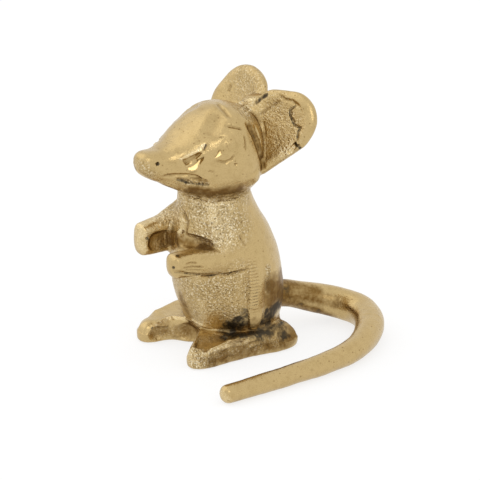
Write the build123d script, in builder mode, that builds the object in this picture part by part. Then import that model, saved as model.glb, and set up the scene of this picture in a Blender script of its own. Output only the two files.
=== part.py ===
"""Cast brass mouse figurine, sitting up with its tail laid round its left side.

The mouse faces -Y, its left side is +X, and it stands on Z = 0. The origin is on the floor, under the
middle of the torso. All sizes are in millimetres. The figure is put together from separate castings
that are pegged into each other and brazed: torso, head, ears, arms, feet and tail.
"""

import os
from math import cos, radians, sin

from build123d import *

# Fits
braze_gap = 0.06

# Torso
torso_height = 49.5
torso_width = 33.4
torso_depth = 33.4
neck_lean = 4.6
base_width = 11.4
base_depth = 22.0
base_back = 1.6
base_height = 6.4
base_corner = 3.0
neck_peg_diameter = 9.0
neck_peg_length = 8.0
# height, width, depth, and how much of the neck's lean has been taken up
torso_station_shares = (
    (0.105, 0.70, 0.70, -0.45),
    (0.20, 0.885, 0.87, -0.36),
    (0.33, 0.985, 0.98, -0.16),
    (0.46, 1.00, 1.00, 0.02),
    (0.60, 0.965, 0.97, 0.22),
    (0.73, 0.885, 0.90, 0.48),
    (0.85, 0.755, 0.77, 0.75),
    (0.93, 0.675, 0.68, 0.92),
    (0.975, 0.63, 0.62, 0.98),
    (1.00, 0.54, 0.53, 1.00),
)

# Filed strip left on each flank, where the two halves of the mould met
strip_width = 5.8
strip_proud = 0.45
strip_length = 18.6
strip_foot_height = 7.5
strip_back = 0.4

# Head
head_length = 41.0
head_width = 28.6
head_height = 30.0
head_back = 9.0
head_rise = 12.6
brow_share = 0.75
jaw_share = 0.69
eye_corner_radius = 0.9
eye_groove_radius = 2.1
mouth_radius = 1.0
nostril_radius = 0.9
# distance forward from the back of the head, half width, centre height, top and bottom from the centre
head_station_shares = (
    (0.000, 0.28, 0.00, 0.32, 0.34),
    (0.045, 0.60, 0.00, 0.60, 0.66),
    (0.150, 0.89, 0.00, 0.84, 0.94),
    (0.320, 1.00, 0.00, 0.92, 0.99),
    (0.470, 0.93, -0.01, 0.80, 0.92),
    (0.610, 0.73, -0.02, 0.58, 0.73),
    (0.730, 0.53, -0.02, 0.37, 0.56),
    (0.840, 0.38, -0.01, 0.26, 0.40),
    (0.930, 0.30, 0.00, 0.25, 0.29),
    (0.980, 0.21, 0.01, 0.18, 0.20),
    (1.000, 0.10, 0.01, 0.09, 0.09),
)
# distance forward, half width and height above the middle, for each end or turn of a cut in the face
eye_groove_shares = (
    (0.588, 0.721, 0.169),
    (0.722, 0.599, 0.015),
)
mouth_shares = (
    (0.836, 0.354, -0.118),
    (0.708, 0.573, -0.115),
    (0.566, 0.740, -0.195),
)
nostril_shares = (0.894, 0.324, 0.031)

# Ears
ear_diameter = 20.8
ear_thickness = 4.0
ear_lean = 22.0
ear_left_turn = 25.0
ear_right_turn = 5.0
# the ear's middle: sideways, behind the head, and above the head's middle
ear_left_place_shares = (0.558, 0.192, 0.341)
ear_right_place_shares = (-0.471, 0.125, 0.447)
# sideways, up and radius of each round that the outline goes about, the root last
ear_left_lobe_shares = (
    (0.082, 0.082, 0.409),
    (-0.216, 0.120, 0.351),
    (-0.457, -0.394, 0.433),
)
ear_right_lobe_shares = (
    (0.038, 0.014, 0.505),
    (-0.163, -0.144, 0.409),
    (0.313, -0.394, 0.433),
)
ear_seat_gap = 0.15
ear_rim = 2.6
ear_dish = 1.3
ear_edge = 1.5
ear_peg_diameter = 4.4
ear_peg_length = 10.0
ear_peg_share = 0.55

# Arms
arm_stretch = 9.7
arm_left_root_height = 30.4
arm_left_root_depth = 8.6
arm_left_hand_height = 31.9
arm_left_hand_depth = 7.6
arm_right_root_height = 38.8
arm_right_root_depth = 16.0
arm_right_hand_height = 34.9
arm_right_hand_depth = 9.0
hand_width = 6.8
hand_inset = 7.4
arm_root_width = 8.6
arm_root_inset = 4.9
arm_corner_share = 0.4
arm_peg_diameter = 3.6
arm_peg_length = 9.0
arm_peg_sink = 1.2
palm_radius = 3.6
palm_depth = 2.4
palm_drop = 1.2
palm_length = 4.5
palm_front = 5.4
# forward, how far from root form to hand form, and how full the section is
arm_station_shares = (
    (-0.08, -0.04, 0.74),
    (0.18, 0.06, 1.00),
    (0.45, 0.50, 1.00),
    (0.74, 0.90, 1.00),
    (0.93, 1.00, 0.96),
    (1.00, 1.02, 0.68),
)

# Feet
foot_side = 18.6
foot_front = 23.4
foot_heel = 15.6
foot_height = 6.4
foot_edge = 1.3
foot_sole_edge = 0.8
# sideways, and forward to the toe or back to the heel, round the sole
foot_left_sole_shares = (
    (0.935, -0.838),
    (0.839, -0.966),
    (0.677, -0.979),
    (0.548, -0.880),
    (0.323, -0.658),
    (0.054, -0.444),
    (0.054, 0.385),
    (0.269, 0.808),
    (0.591, 1.000),
    (0.882, 0.936),
    (1.000, 0.615),
    (0.962, 0.000),
    (0.935, -0.427),
)
foot_right_sole_shares = (
    (0.935, -0.598),
    (0.898, -0.880),
    (0.742, -1.000),
    (0.559, -0.991),
    (0.446, -0.855),
    (0.387, -0.650),
    (0.172, -0.513),
    (0.054, -0.171),
    (0.215, 0.705),
    (0.591, 0.923),
    (0.892, 0.808),
    (0.989, 0.385),
    (0.978, -0.171),
)
foot_peg_diameter = 3.2
foot_peg_length = 4.0

# Tail
tail_bend_diameter = 9.6
tail_tip_diameter = 5.6
tail_side = 41.7
tail_root_sink = 5.5
tail_reach = 28.2
tail_front_length = 69.6
tail_rise = 6.4
tail_floor_lift = 0.1
tail_spigot_diameter = 5.0
tail_spigot_length = 6.0
tail_tip_edge_share = 0.45
# sideways, back from the root, forward from the bend, height off the floor, and thickness from tip to bend
tail_station_shares = (
    (0.000, 0.000, 0.000, 1.00, 0.65),
    (-0.010, 0.383, 0.000, 0.76, 0.72),
    (0.046, 0.681, 0.000, 0.38, 0.92),
    (0.158, 0.901, 0.000, 0.11, 1.00),
    (0.321, 1.000, 0.000, 0.00, 1.00),
    (0.523, 1.000, 0.032, 0.00, 0.90),
    (0.729, 1.000, 0.132, 0.00, 0.74),
    (0.873, 1.000, 0.267, 0.00, 0.48),
    (0.940, 1.000, 0.422, 0.00, 0.25),
    (0.976, 1.000, 0.652, 0.00, 0.10),
    (1.000, 1.000, 1.000, 0.00, 0.00),
)


def main_solid(form):
    """The largest solid of a form, without slivers that a cut has left loose."""
    return form.solids().sort_by(SortBy.VOLUME)[-1]


def torso_form(grow):
    """The torso's egg, swelled all round by grow."""
    with BuildPart() as form:
        for height, width, depth, lean in torso_station_shares:
            with BuildSketch(Plane.XY.offset(height * (torso_height + 2 * grow) - grow)):
                with Locations((0, -lean * neck_lean)):
                    Ellipse(width * torso_width / 2 + grow, depth * torso_depth / 2 + grow)
        loft()
    return form.part


def base_form(grow):
    """The block under the torso, between the two feet."""
    with BuildPart() as form:
        with BuildSketch():
            with Locations((0, base_back)):
                RectangleRounded(base_width + 2 * grow, base_depth + 2 * grow, base_corner)
        extrude(amount=base_height + grow)
    return form.part


def strip_form(side):
    """The filed strip on one flank, standing a little proud of the belly."""
    with BuildPart() as form:
        with BuildSketch(Plane.YZ):
            with Locations((strip_back, strip_foot_height + strip_length / 2)):
                SlotOverall(strip_length, strip_width, rotation=90)
        extrude(amount=side * torso_width)
        add(torso_form(strip_proud), mode=Mode.INTERSECT)
    return form.part


def neck_peg_form(grow):
    """The peg on top of the neck, which holds the head."""
    with BuildPart() as form:
        with BuildSketch(Plane.XY.offset(torso_height - neck_peg_length)):
            with Locations((0, -neck_lean)):
                Circle(neck_peg_diameter / 2 + grow)
        extrude(amount=2 * neck_peg_length + grow)
    return form.part


def head_form(grow):
    """The head from its back to the nose, an egg in section, swelled all round by grow."""
    with BuildPart() as form:
        for forward, width, centre, top, bottom in head_station_shares:
            side = width * head_width / 2 + grow
            middle = head_middle.Z + centre * head_height
            crown = middle + top * head_height / 2 + grow
            chin = middle - bottom * head_height / 2 - grow
            brow = middle + brow_share * (crown - middle)
            jaw = middle - jaw_share * (middle - chin)
            with BuildSketch(Plane.XZ.offset(forward * (head_length + 2 * grow) - head_back - grow)):
                with BuildLine():
                    Spline(
                        (0, crown),
                        (brow_share * side, brow),
                        (side, middle),
                        (jaw_share * side, jaw),
                        (0, chin),
                        (-jaw_share * side, jaw),
                        (-side, middle),
                        (-brow_share * side, brow),
                        periodic=True,
                    )
                make_face()
        loft()
    return form.part


def head_place(side, forward, width, lift):
    """A place beside the head, from shares of its length, half width and height."""
    across = side * width * head_width / 2
    return Vector(across, head_back - forward * head_length, head_middle.Z + lift * head_height)


def eye_groove_form(side):
    """The groove from the inner corner of the eye down to the snout, wider as it goes."""
    start, end = (head_place(side, *shares) for shares in eye_groove_shares)
    with BuildPart() as form:
        with BuildSketch(Plane(origin=start, z_dir=end - start)):
            Circle(eye_corner_radius)
        with BuildSketch(Plane(origin=end, z_dir=end - start)):
            Circle(eye_groove_radius)
        loft()
    return form.part


def mouth_form(side):
    """The line of the mouth along one side of the snout."""
    with BuildPart() as form:
        with BuildLine():
            line = Spline(*(head_place(side, *shares) for shares in mouth_shares))
        with BuildSketch(Plane(origin=line @ 0, z_dir=line % 0)):
            Circle(mouth_radius)
        sweep(path=line)
    return form.part


def nostril_form(side):
    """The pit of one nostril."""
    with BuildPart() as form:
        with Locations(head_place(side, *nostril_shares)):
            Sphere(nostril_radius)
    return form.part


def ear_plane(place_shares, turn):
    """The ear's own plane: its centre, and the way that its dish faces."""
    across, behind, above = (share * ear_diameter for share in place_shares)
    level = cos(radians(ear_lean))
    return Plane(
        origin=(across, head_back + behind, head_middle.Z + above),
        x_dir=(cos(radians(turn)), sin(radians(turn)), 0),
        z_dir=(level * sin(radians(turn)), -level * cos(radians(turn)), sin(radians(ear_lean))),
    )


def ear_peg_form(plane, lobe_shares, grow):
    """The peg from the ear's root towards the middle of the head."""
    across, up, radius = lobe_shares[-1]
    root = Vector(across * ear_diameter, up * ear_diameter, 0)
    start = plane.from_local_coords(ear_peg_share * root)
    with BuildPart() as form:
        with BuildSketch(Plane(origin=start, z_dir=head_middle - start)):
            Circle(ear_peg_diameter / 2 + grow)
        extrude(amount=ear_peg_length + grow)
    return form.part


def ear_form(side, plane, lobe_shares):
    """A thick, dished ear with a rounded rim, cut to sit on the head, and its peg."""
    dish_reach = ear_diameter / 2 - ear_rim
    dish_radius = (dish_reach**2 + ear_dish**2) / (2 * ear_dish)
    inner_side = Plane.YZ.offset(side * braze_gap)
    with BuildPart() as form:
        with BuildSketch(plane):
            for across, up, radius in lobe_shares:
                with Locations((across * ear_diameter, up * ear_diameter)):
                    Circle(radius * ear_diameter)
            make_hull()
        extrude(amount=ear_thickness / 2, both=True)
        flat_faces = form.faces().sort_by(Axis(plane.origin, plane.z_dir))
        fillet(flat_faces[0].edges() + flat_faces[-1].edges(), ear_edge)
        with Locations(plane.offset(ear_thickness / 2 - ear_dish + dish_radius).location):
            Sphere(dish_radius, mode=Mode.SUBTRACT)
        add(head_form(ear_seat_gap), mode=Mode.SUBTRACT)
        split(bisect_by=inner_side, keep=Keep.TOP if side > 0 else Keep.BOTTOM)
    with BuildPart() as ear:
        add(main_solid(form))
        add(ear_peg_form(plane, lobe_shares, 0))
    return ear.part


def arm_peg_form(side, hand_height, grow):
    """The peg from the arm into the shoulder."""
    with BuildPart() as form:
        with BuildSketch(Plane.XZ.offset(torso_depth / 2 - arm_peg_sink)):
            with Locations((side * hand_side, hand_height)):
                Circle(arm_peg_diameter / 2 + grow)
        extrude(amount=-arm_peg_length - grow)
    return form.part


def arm_form(side, root_height, root_depth, hand_height, hand_depth):
    """An arm held forward, cut to sit on the flank, and its peg."""
    with BuildPart() as form:
        for forward, change, fullness in arm_station_shares:
            middle_side = arm_root_side + change * (hand_side - arm_root_side)
            middle_height = root_height + change * (hand_height - root_height)
            width = fullness * (arm_root_width + change * (hand_width - arm_root_width))
            depth = fullness * (root_depth + change * (hand_depth - root_depth))
            with BuildSketch(Plane.XZ.offset(forward * arm_reach)):
                with Locations((side * middle_side, middle_height)):
                    RectangleRounded(width, depth, arm_corner_share * min(width, depth))
        loft()
        add(torso_form(braze_gap), mode=Mode.SUBTRACT)
    with BuildPart() as arm:
        add(main_solid(form))
        add(arm_peg_form(side, hand_height, 0))
    return arm.part


def palm_form(side, hand_height):
    """The scoop in the inner side of a hand, round at its front end."""
    middle_side = hand_side - hand_width / 2 - palm_radius + palm_depth
    middle_height = hand_height - palm_drop
    front = arm_reach - palm_front
    with BuildPart() as form:
        with BuildSketch(Plane.XZ.offset(front)):
            with Locations((side * middle_side, middle_height)):
                Circle(palm_radius)
        extrude(amount=-palm_length)
        with Locations((side * middle_side, -front, middle_height)):
            Sphere(palm_radius)
    return form.part


def foot_peg_form(side, grow):
    """The peg from the foot into the base block."""
    peg_start = (foot_side + base_width / 2) / 2
    peg_reach = peg_start - base_width / 2 + foot_peg_length
    with BuildPart() as form:
        with BuildSketch(Plane.YZ.offset(side * peg_start)):
            with Locations((base_back, foot_height / 2)):
                Circle(foot_peg_diameter / 2 + grow)
        extrude(amount=-side * (peg_reach + grow))
    return form.part


def foot_form(side, sole_shares):
    """A flat foot that spreads inwards under the belly, cut to sit on belly and base, and its peg."""
    sole = [
        (side * across * foot_side, along * (foot_heel if along > 0 else foot_front))
        for across, along in sole_shares
    ]
    with BuildPart() as form:
        with BuildSketch():
            with BuildLine():
                Spline(*sole, periodic=True)
            make_face()
        extrude(amount=foot_height)
        fillet(form.faces().sort_by(Axis.Z)[-1].edges(), foot_edge)
        fillet(form.faces().sort_by(Axis.Z)[0].edges(), foot_sole_edge)
        add(torso_form(braze_gap), mode=Mode.SUBTRACT)
        add(base_form(braze_gap), mode=Mode.SUBTRACT)
    with BuildPart() as foot:
        add(main_solid(form))
        add(foot_peg_form(side, 0))
    return foot.part


def tail_spigot_form(grow):
    """The spigot from the tail's root into the back of the torso."""
    with BuildPart() as form:
        with BuildSketch(tail_root_plane.offset(-tail_spigot_length - grow)):
            Circle(tail_spigot_diameter / 2 + grow)
        extrude(amount=2 * tail_spigot_length)
    return form.part


head_middle = Vector(0, -neck_lean, torso_height + head_rise)
ear_left_plane = ear_plane(ear_left_place_shares, ear_left_turn)
ear_right_plane = ear_plane(ear_right_place_shares, ear_right_turn)

arm_reach = torso_depth / 2 + arm_stretch
arm_root_side = torso_width / 2 - arm_root_inset
hand_side = torso_width / 2 - hand_inset

tail_root_back = torso_depth / 2 - tail_root_sink
tail_points = []
tail_diameters = []
for side, back, forward, rise, thickness in tail_station_shares:
    diameter = tail_tip_diameter + thickness * (tail_bend_diameter - tail_tip_diameter)
    height = diameter / 2 + tail_floor_lift + rise * tail_rise
    along = tail_root_back + back * tail_reach - forward * tail_front_length
    tail_points.append(Vector(side * tail_side, along, height))
    tail_diameters.append(diameter)
with BuildLine() as tail_path:
    tail_line = Spline(*tail_points)
tail_root_plane = Plane(origin=tail_line @ 0, z_dir=tail_line % 0)

with BuildPart() as torso:
    add(torso_form(0))
    add(base_form(0))
    add(neck_peg_form(0))
    for flank in (-1, 1):
        add(strip_form(flank))
        add(foot_peg_form(flank, braze_gap), mode=Mode.SUBTRACT)
    add(arm_peg_form(1, arm_left_hand_height, braze_gap), mode=Mode.SUBTRACT)
    add(arm_peg_form(-1, arm_right_hand_height, braze_gap), mode=Mode.SUBTRACT)
    add(tail_spigot_form(braze_gap), mode=Mode.SUBTRACT)

with BuildPart() as head:
    add(head_form(0))
    add(torso_form(braze_gap), mode=Mode.SUBTRACT)
    add(neck_peg_form(braze_gap), mode=Mode.SUBTRACT)
    add(ear_peg_form(ear_left_plane, ear_left_lobe_shares, braze_gap), mode=Mode.SUBTRACT)
    add(ear_peg_form(ear_right_plane, ear_right_lobe_shares, braze_gap), mode=Mode.SUBTRACT)
    for flank in (-1, 1):
        add(eye_groove_form(flank), mode=Mode.SUBTRACT)
        add(mouth_form(flank), mode=Mode.SUBTRACT)
        add(nostril_form(flank), mode=Mode.SUBTRACT)

with BuildPart() as ear_left:
    add(ear_form(1, ear_left_plane, ear_left_lobe_shares))

with BuildPart() as ear_right:
    add(ear_form(-1, ear_right_plane, ear_right_lobe_shares))

with BuildPart() as arm_left:
    add(
        arm_form(1, arm_left_root_height, arm_left_root_depth, arm_left_hand_height, arm_left_hand_depth)
    )

with BuildPart() as arm_right:
    add(
        arm_form(-1, arm_right_root_height, arm_right_root_depth, arm_right_hand_height, arm_right_hand_depth)
    )
    add(palm_form(-1, arm_right_hand_height), mode=Mode.SUBTRACT)

with BuildPart() as foot_left:
    add(foot_form(1, foot_left_sole_shares))

with BuildPart() as foot_right:
    add(foot_form(-1, foot_right_sole_shares))

with BuildPart() as tail:
    for point, diameter in zip(tail_points, tail_diameters):
        place = tail_line.param_at_point(point)
        with BuildSketch(Plane(origin=tail_line @ place, x_dir=Axis.Z.direction, z_dir=tail_line % place)):
            Circle(diameter / 2)
    sweep(path=tail_line, multisection=True)
    fillet(tail.faces().sort_by(Axis.Y)[0].edges(), tail_tip_edge_share * tail_tip_diameter)
    add(torso_form(braze_gap), mode=Mode.SUBTRACT)
    add(tail_spigot_form(0))

os.makedirs("parts", exist_ok=True)
pieces = {
    "torso": torso,
    "head": head,
    "ear_left": ear_left,
    "ear_right": ear_right,
    "arm_left": arm_left,
    "arm_right": arm_right,
    "foot_left": foot_left,
    "foot_right": foot_right,
    "tail": tail,
}
for label, piece in pieces.items():
    piece.part.label = label
    export_step(piece.part, f"parts/{label}.step")
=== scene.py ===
"""Looks of the cast brass mouse figurine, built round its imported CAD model.

The figure is modelled as a founder's pattern is: lumps of clay are added as primitives and shaped, pressed
together with a voxel remesh, worked over with gouges and files, and then cut along its seams into one piece
for each casting of the CAD model. Lengths are in millimetres until a piece is finished, and then in metres.
"""

import logging
import math
from dataclasses import dataclass, field
from enum import Enum
from typing import Callable, Sequence

import bpy
import numpy as np
from mathutils import Matrix, Vector, noise
from mathutils.bvhtree import BVHTree


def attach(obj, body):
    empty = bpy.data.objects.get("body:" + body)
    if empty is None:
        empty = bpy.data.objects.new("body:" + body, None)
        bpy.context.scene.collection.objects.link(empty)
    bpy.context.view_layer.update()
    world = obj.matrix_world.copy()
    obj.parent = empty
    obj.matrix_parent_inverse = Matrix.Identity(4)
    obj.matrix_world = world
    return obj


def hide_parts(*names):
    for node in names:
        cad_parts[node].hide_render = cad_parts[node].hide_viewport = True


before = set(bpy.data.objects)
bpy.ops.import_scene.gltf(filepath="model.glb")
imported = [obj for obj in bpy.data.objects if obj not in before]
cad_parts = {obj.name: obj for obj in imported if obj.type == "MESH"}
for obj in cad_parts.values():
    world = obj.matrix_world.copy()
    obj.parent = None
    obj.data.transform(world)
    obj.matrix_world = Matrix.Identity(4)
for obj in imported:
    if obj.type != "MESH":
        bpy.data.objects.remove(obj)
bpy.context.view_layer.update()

LOG = logging.getLogger("brass_mouse")
MM = 0.001
VOXEL = 0.25

Array = np.ndarray
Spot = tuple[float, float]
Range = tuple[float, float]
Colour = tuple[float, float, float]
Socket = bpy.types.NodeSocket
Inputs = dict[str | int, Socket | float | tuple]
WHITE = (1.0, 1.0, 1.0, 1.0)


class Casting(Enum):
    """The castings of the figure, named as their CAD nodes are."""

    TORSO = "torso"
    HEAD = "head"
    EAR_LEFT = "ear_left"
    EAR_RIGHT = "ear_right"
    ARM_LEFT = "arm_left"
    ARM_RIGHT = "arm_right"
    FOOT_LEFT = "foot_left"
    FOOT_RIGHT = "foot_right"
    TAIL = "tail"


LEFT_SOLE: tuple[Spot, ...] = (
    (17.4, -19.6),
    (15.6, -22.6),
    (12.6, -22.9),
    (10.2, -20.6),
    (6.0, -15.4),
    (1.0, -10.4),
    (1.0, 6.0),
    (5.0, 12.6),
    (11.0, 15.6),
    (16.4, 14.6),
    (18.6, 9.6),
    (17.9, 0.0),
    (17.4, -10.0),
)
RIGHT_SOLE: tuple[Spot, ...] = (
    (-17.4, -14.0),
    (-16.7, -20.6),
    (-13.8, -23.4),
    (-10.4, -23.2),
    (-8.3, -20.0),
    (-7.2, -15.2),
    (-3.2, -12.0),
    (-1.0, -4.0),
    (-4.0, 11.0),
    (-11.0, 14.4),
    (-16.6, 12.6),
    (-18.4, 6.0),
    (-18.2, -4.0),
)


class Side(Enum):
    """The mouse's own left and right, with the sign of X there."""

    LEFT = 1.0
    RIGHT = -1.0


def smooth_curve(knots: Sequence[float], values: Sequence[float], at: Array) -> Array:
    """Reads a smooth curve that doesn't overshoot its knots.

    Args:
        knots: Places of the knots, rising.
        values: The curve's value at each knot.
        at: Places to read.

    Returns:
        The curve's values at those places.
    """
    x = np.asarray(knots, float)
    y = np.asarray(values, float)
    step = np.diff(x)
    slope = np.diff(y) / step
    tangent = np.zeros_like(y)
    tangent[0], tangent[-1] = slope[0], slope[-1]
    same = slope[:-1] * slope[1:] > 0
    w1 = 2 * step[1:] + step[:-1]
    w2 = step[1:] + 2 * step[:-1]
    mean = np.zeros_like(slope[:-1])
    mean[same] = (w1 + w2)[same] / (w1[same] / slope[:-1][same] + w2[same] / slope[1:][same])
    tangent[1:-1] = mean
    p = np.clip(at, x[0], x[-1])
    i = np.clip(np.searchsorted(x, p) - 1, 0, len(x) - 2)
    t = (p - x[i]) / step[i]
    h00 = (1 + 2 * t) * (1 - t) ** 2
    h10 = t * (1 - t) ** 2
    h01 = t * t * (3 - 2 * t)
    h11 = t * t * (t - 1)
    return h00 * y[i] + h10 * step[i] * tangent[i] + h01 * y[i + 1] + h11 * step[i] * tangent[i + 1]


def unit(v: Array) -> Array:
    """Returns a vector, or each row of an array, at length one."""
    return v / np.maximum(np.linalg.norm(v, axis=-1, keepdims=True), 1e-12)


def read_points(mesh: bpy.types.Mesh) -> Array:
    """Returns a mesh's vertices as rows of X, Y and Z."""
    flat = np.empty(len(mesh.vertices) * 3)
    mesh.vertices.foreach_get("co", flat)
    return flat.reshape(-1, 3)


def write_points(mesh: bpy.types.Mesh, points: Array) -> None:
    """Puts vertices back into a mesh.

    Args:
        mesh: The mesh.
        points: One row for each vertex.
    """
    mesh.vertices.foreach_set("co", points.astype(float).ravel())
    mesh.update()


def deselect() -> None:
    """Leaves nothing selected."""
    bpy.ops.object.select_all(action="DESELECT")


def pick(obj: bpy.types.Object) -> None:
    """Makes one object the only selected one, and active."""
    deselect()
    obj.select_set(True)
    bpy.context.view_layer.objects.active = obj


def clay_ball(
    name: str,
    shape: Callable[[Array, Array], Array],
    around: int = 64,
    rings: int = 48,
) -> bpy.types.Object:
    """Adds a ball and draws it out into a lump.

    Args:
        name: The lump's name.
        shape: Gives the place of each point from its share of the way from pole to pole, as an angle
            from 0 to pi, and its angle round the axis.
        around: Points round the axis.
        rings: Rings from pole to pole.

    Returns:
        The lump.
    """
    deselect()
    bpy.ops.mesh.primitive_uv_sphere_add(segments=around, ring_count=rings, radius=1.0, location=(0, 0, 0))
    lump = bpy.context.object
    lump.name = name
    p = read_points(lump.data)
    polar = np.arccos(np.clip(-p[:, 2], -1, 1))
    write_points(lump.data, shape(polar, np.arctan2(p[:, 1], p[:, 0])))
    bpy.ops.object.mode_set(mode="EDIT")
    bpy.ops.mesh.select_all(action="SELECT")
    bpy.ops.mesh.normals_make_consistent(inside=False)
    bpy.ops.object.mode_set(mode="OBJECT")
    return lump


def squared(angle: Array, power: float) -> tuple[Array, Array]:
    """Returns the two sides of a round section, squarer for a power under one."""
    c, s = np.cos(angle), np.sin(angle)
    return np.sign(c) * np.abs(c) ** power, np.sign(s) * np.abs(s) ** power


def polar_of(share: Sequence[float]) -> list[float]:
    """Returns the polar angles of shares of the way along a ball's axis."""
    return [math.acos(max(-1.0, min(1.0, 1 - 2 * s))) for s in share]


@dataclass(frozen=True)
class Viewpoint:
    """Where the figure is seen from, and how its picture is framed."""

    azimuth: float = 55.75
    elevation: float = 22.25
    distance: float = 1225.0
    scale: float = 3.3
    centre: Spot = (226.75, 338.0)
    picture: float = 480.0
    glint: Colour = (0.70, -0.45, 0.55)

    def axes(self) -> tuple[Array, Array, Array]:
        """Returns the picture's right and up, and the way back to the viewer."""
        a, e = math.radians(self.azimuth), math.radians(self.elevation)
        right = np.array([math.cos(a), math.sin(a), 0.0])
        back = np.array([math.sin(a) * math.cos(e), -math.cos(a) * math.cos(e), math.sin(e)])
        return right, np.cross(back, right), back

    def ray(self, spot: Spot) -> tuple[Vector, Vector]:
        """Finds the line of sight through a place in the picture.

        Args:
            spot: Across and down in the picture.

        Returns:
            The eye and the direction.
        """
        right, up, back = self.axes()
        eye = back * self.distance
        aim = right * (spot[0] - self.centre[0]) / self.scale + up * (self.centre[1] - spot[1]) / self.scale
        return Vector(eye), Vector(unit(aim - eye))

    def picture_of(self, points: Array) -> Array:
        """Returns the places in the picture of points on the figure."""
        right, up, back = self.axes()
        near = self.scale * self.distance / (self.distance - points @ back)
        return np.stack([self.centre[0] + near * (points @ right), self.centre[1] - near * (points @ up)], 1)

    def lamp_way(self) -> Array:
        """Returns the way to a lamp whose light a facet with the glint's normal throws at the viewer."""
        back = self.axes()[2]
        facing = unit(np.array(self.glint))
        return 2 * (facing @ back) * facing - back


def depth_inside(spots: Array, outline: Sequence[Spot]) -> Array:
    """Finds how far inside an outline each place in the picture is.

    Args:
        spots: The places.
        outline: The outline's corners.

    Returns:
        The distance to the outline, negative outside it.
    """
    a = np.array(outline, float)
    b = np.roll(a, -1, axis=0)
    gap = np.full(len(spots), np.inf)
    inside = np.zeros(len(spots), bool)
    for start, end in zip(a, b):
        run = end - start
        share = np.clip(((spots - start) @ run) / max(run @ run, 1e-9), 0, 1)
        gap = np.minimum(gap, np.linalg.norm(spots - start - share[:, None] * run, axis=1))
        crosses = (start[1] > spots[:, 1]) != (end[1] > spots[:, 1])
        rise = end[1] - start[1] if end[1] != start[1] else 1e-9
        inside ^= crosses & (spots[:, 0] < start[0] + (spots[:, 1] - start[1]) * run[0] / rise)
    return np.where(inside, gap, -gap)


@dataclass
class Torso:
    """The egg-shaped body on its base block."""

    height: float = 49.5
    width: float = 33.4
    depth: float = 33.4
    neck_lean: float = 4.6
    base_width: float = 11.4
    base_depth: float = 22.0
    base_height: float = 6.4
    height_shares: tuple[float, ...] = (0.07, 0.105, 0.20, 0.33, 0.46, 0.60, 0.73, 0.85, 0.93, 1.0, 1.12)
    width_shares: tuple[float, ...] = (0.0, 0.72, 0.90, 0.985, 1.0, 0.965, 0.885, 0.755, 0.68, 0.64, 0.0)
    lean_shares: tuple[float, ...] = (-0.45, -0.45, -0.36, -0.16, 0.02, 0.22, 0.48, 0.75, 0.92, 1.0, 1.0)

    def build(self) -> bpy.types.Object:
        """Returns the body's lump, with its base block joined on."""
        low, high = self.height_shares[0], self.height_shares[-1]
        knots = polar_of([(h - low) / (high - low) for h in self.height_shares])

        def egg(polar: Array, angle: Array) -> Array:
            z = (low + (high - low) * (1 - np.cos(polar)) / 2) * self.height
            r = smooth_curve(knots, self.width_shares, polar)
            y = -smooth_curve(knots, self.lean_shares, polar) * self.neck_lean
            x = r * self.width / 2 * np.cos(angle)
            return np.stack([x, y + r * self.depth / 2 * np.sin(angle), z], 1)

        body = clay_ball("torso_clay", egg, 96, 64)
        deselect()
        bpy.ops.mesh.primitive_cube_add(size=1.0, location=(0, 1.6, self.base_height / 2))
        block = bpy.context.object
        block.dimensions = (self.base_width, self.base_depth, self.base_height)
        bpy.ops.object.transform_apply(location=True, rotation=True, scale=True)
        bpy.ops.object.mode_set(mode="EDIT")
        bpy.ops.mesh.select_all(action="SELECT")
        bpy.ops.mesh.bevel(offset=1.2, segments=3, affect="EDGES")
        bpy.ops.object.mode_set(mode="OBJECT")
        return join([body, block])


@dataclass
class Head:
    """Skull and snout."""

    length: float = 41.0
    width: float = 28.6
    height: float = 30.0
    back: float = 9.0
    centre: float = 62.1
    forward_shares: tuple[float, ...] = (0.0, 0.045, 0.15, 0.32, 0.47, 0.61, 0.73, 0.84, 0.93, 0.98, 1.0)
    width_shares: tuple[float, ...] = (0.0, 0.60, 0.89, 1.0, 0.93, 0.73, 0.53, 0.385, 0.31, 0.21, 0.0)
    middle_shares: tuple[float, ...] = (0.0, 0.0, 0.0, 0.0, -0.01, -0.02, -0.02, -0.01, 0.0, 0.01, 0.01)
    top_shares: tuple[float, ...] = (0.0, 0.60, 0.84, 0.92, 0.80, 0.58, 0.37, 0.26, 0.25, 0.18, 0.0)
    bottom_shares: tuple[float, ...] = (0.0, 0.70, 0.96, 1.0, 0.92, 0.73, 0.56, 0.40, 0.29, 0.20, 0.0)
    bridge: tuple[float, float, float] = (0.2, 9.6, 71.0)
    bridge_radius: float = 5.0

    def build(self) -> bpy.types.Object:
        """Returns the head's lump."""
        knots = polar_of(self.forward_shares)

        def skull(polar: Array, angle: Array) -> Array:
            forward = (1 - np.cos(polar)) / 2 * self.length - self.back
            side, lift = squared(angle, 0.86)
            top = smooth_curve(knots, self.top_shares, polar) * self.height / 2
            bottom = smooth_curve(knots, self.bottom_shares, polar) * self.height / 2
            middle = self.centre + smooth_curve(knots, self.middle_shares, polar) * self.height
            x = smooth_curve(knots, self.width_shares, polar) * self.width / 2 * side
            return np.stack([x, -forward, middle + np.where(lift > 0, top, bottom) * lift], 1)

        head = clay_ball("head_clay", skull, 96, 72)
        deselect()
        bpy.ops.mesh.primitive_uv_sphere_add(
            segments=32,
            ring_count=16,
            radius=self.bridge_radius,
            location=self.bridge,
        )
        bridge = bpy.context.object
        bpy.ops.object.transform_apply(location=True, rotation=True, scale=True)
        return join([head, bridge])


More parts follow.
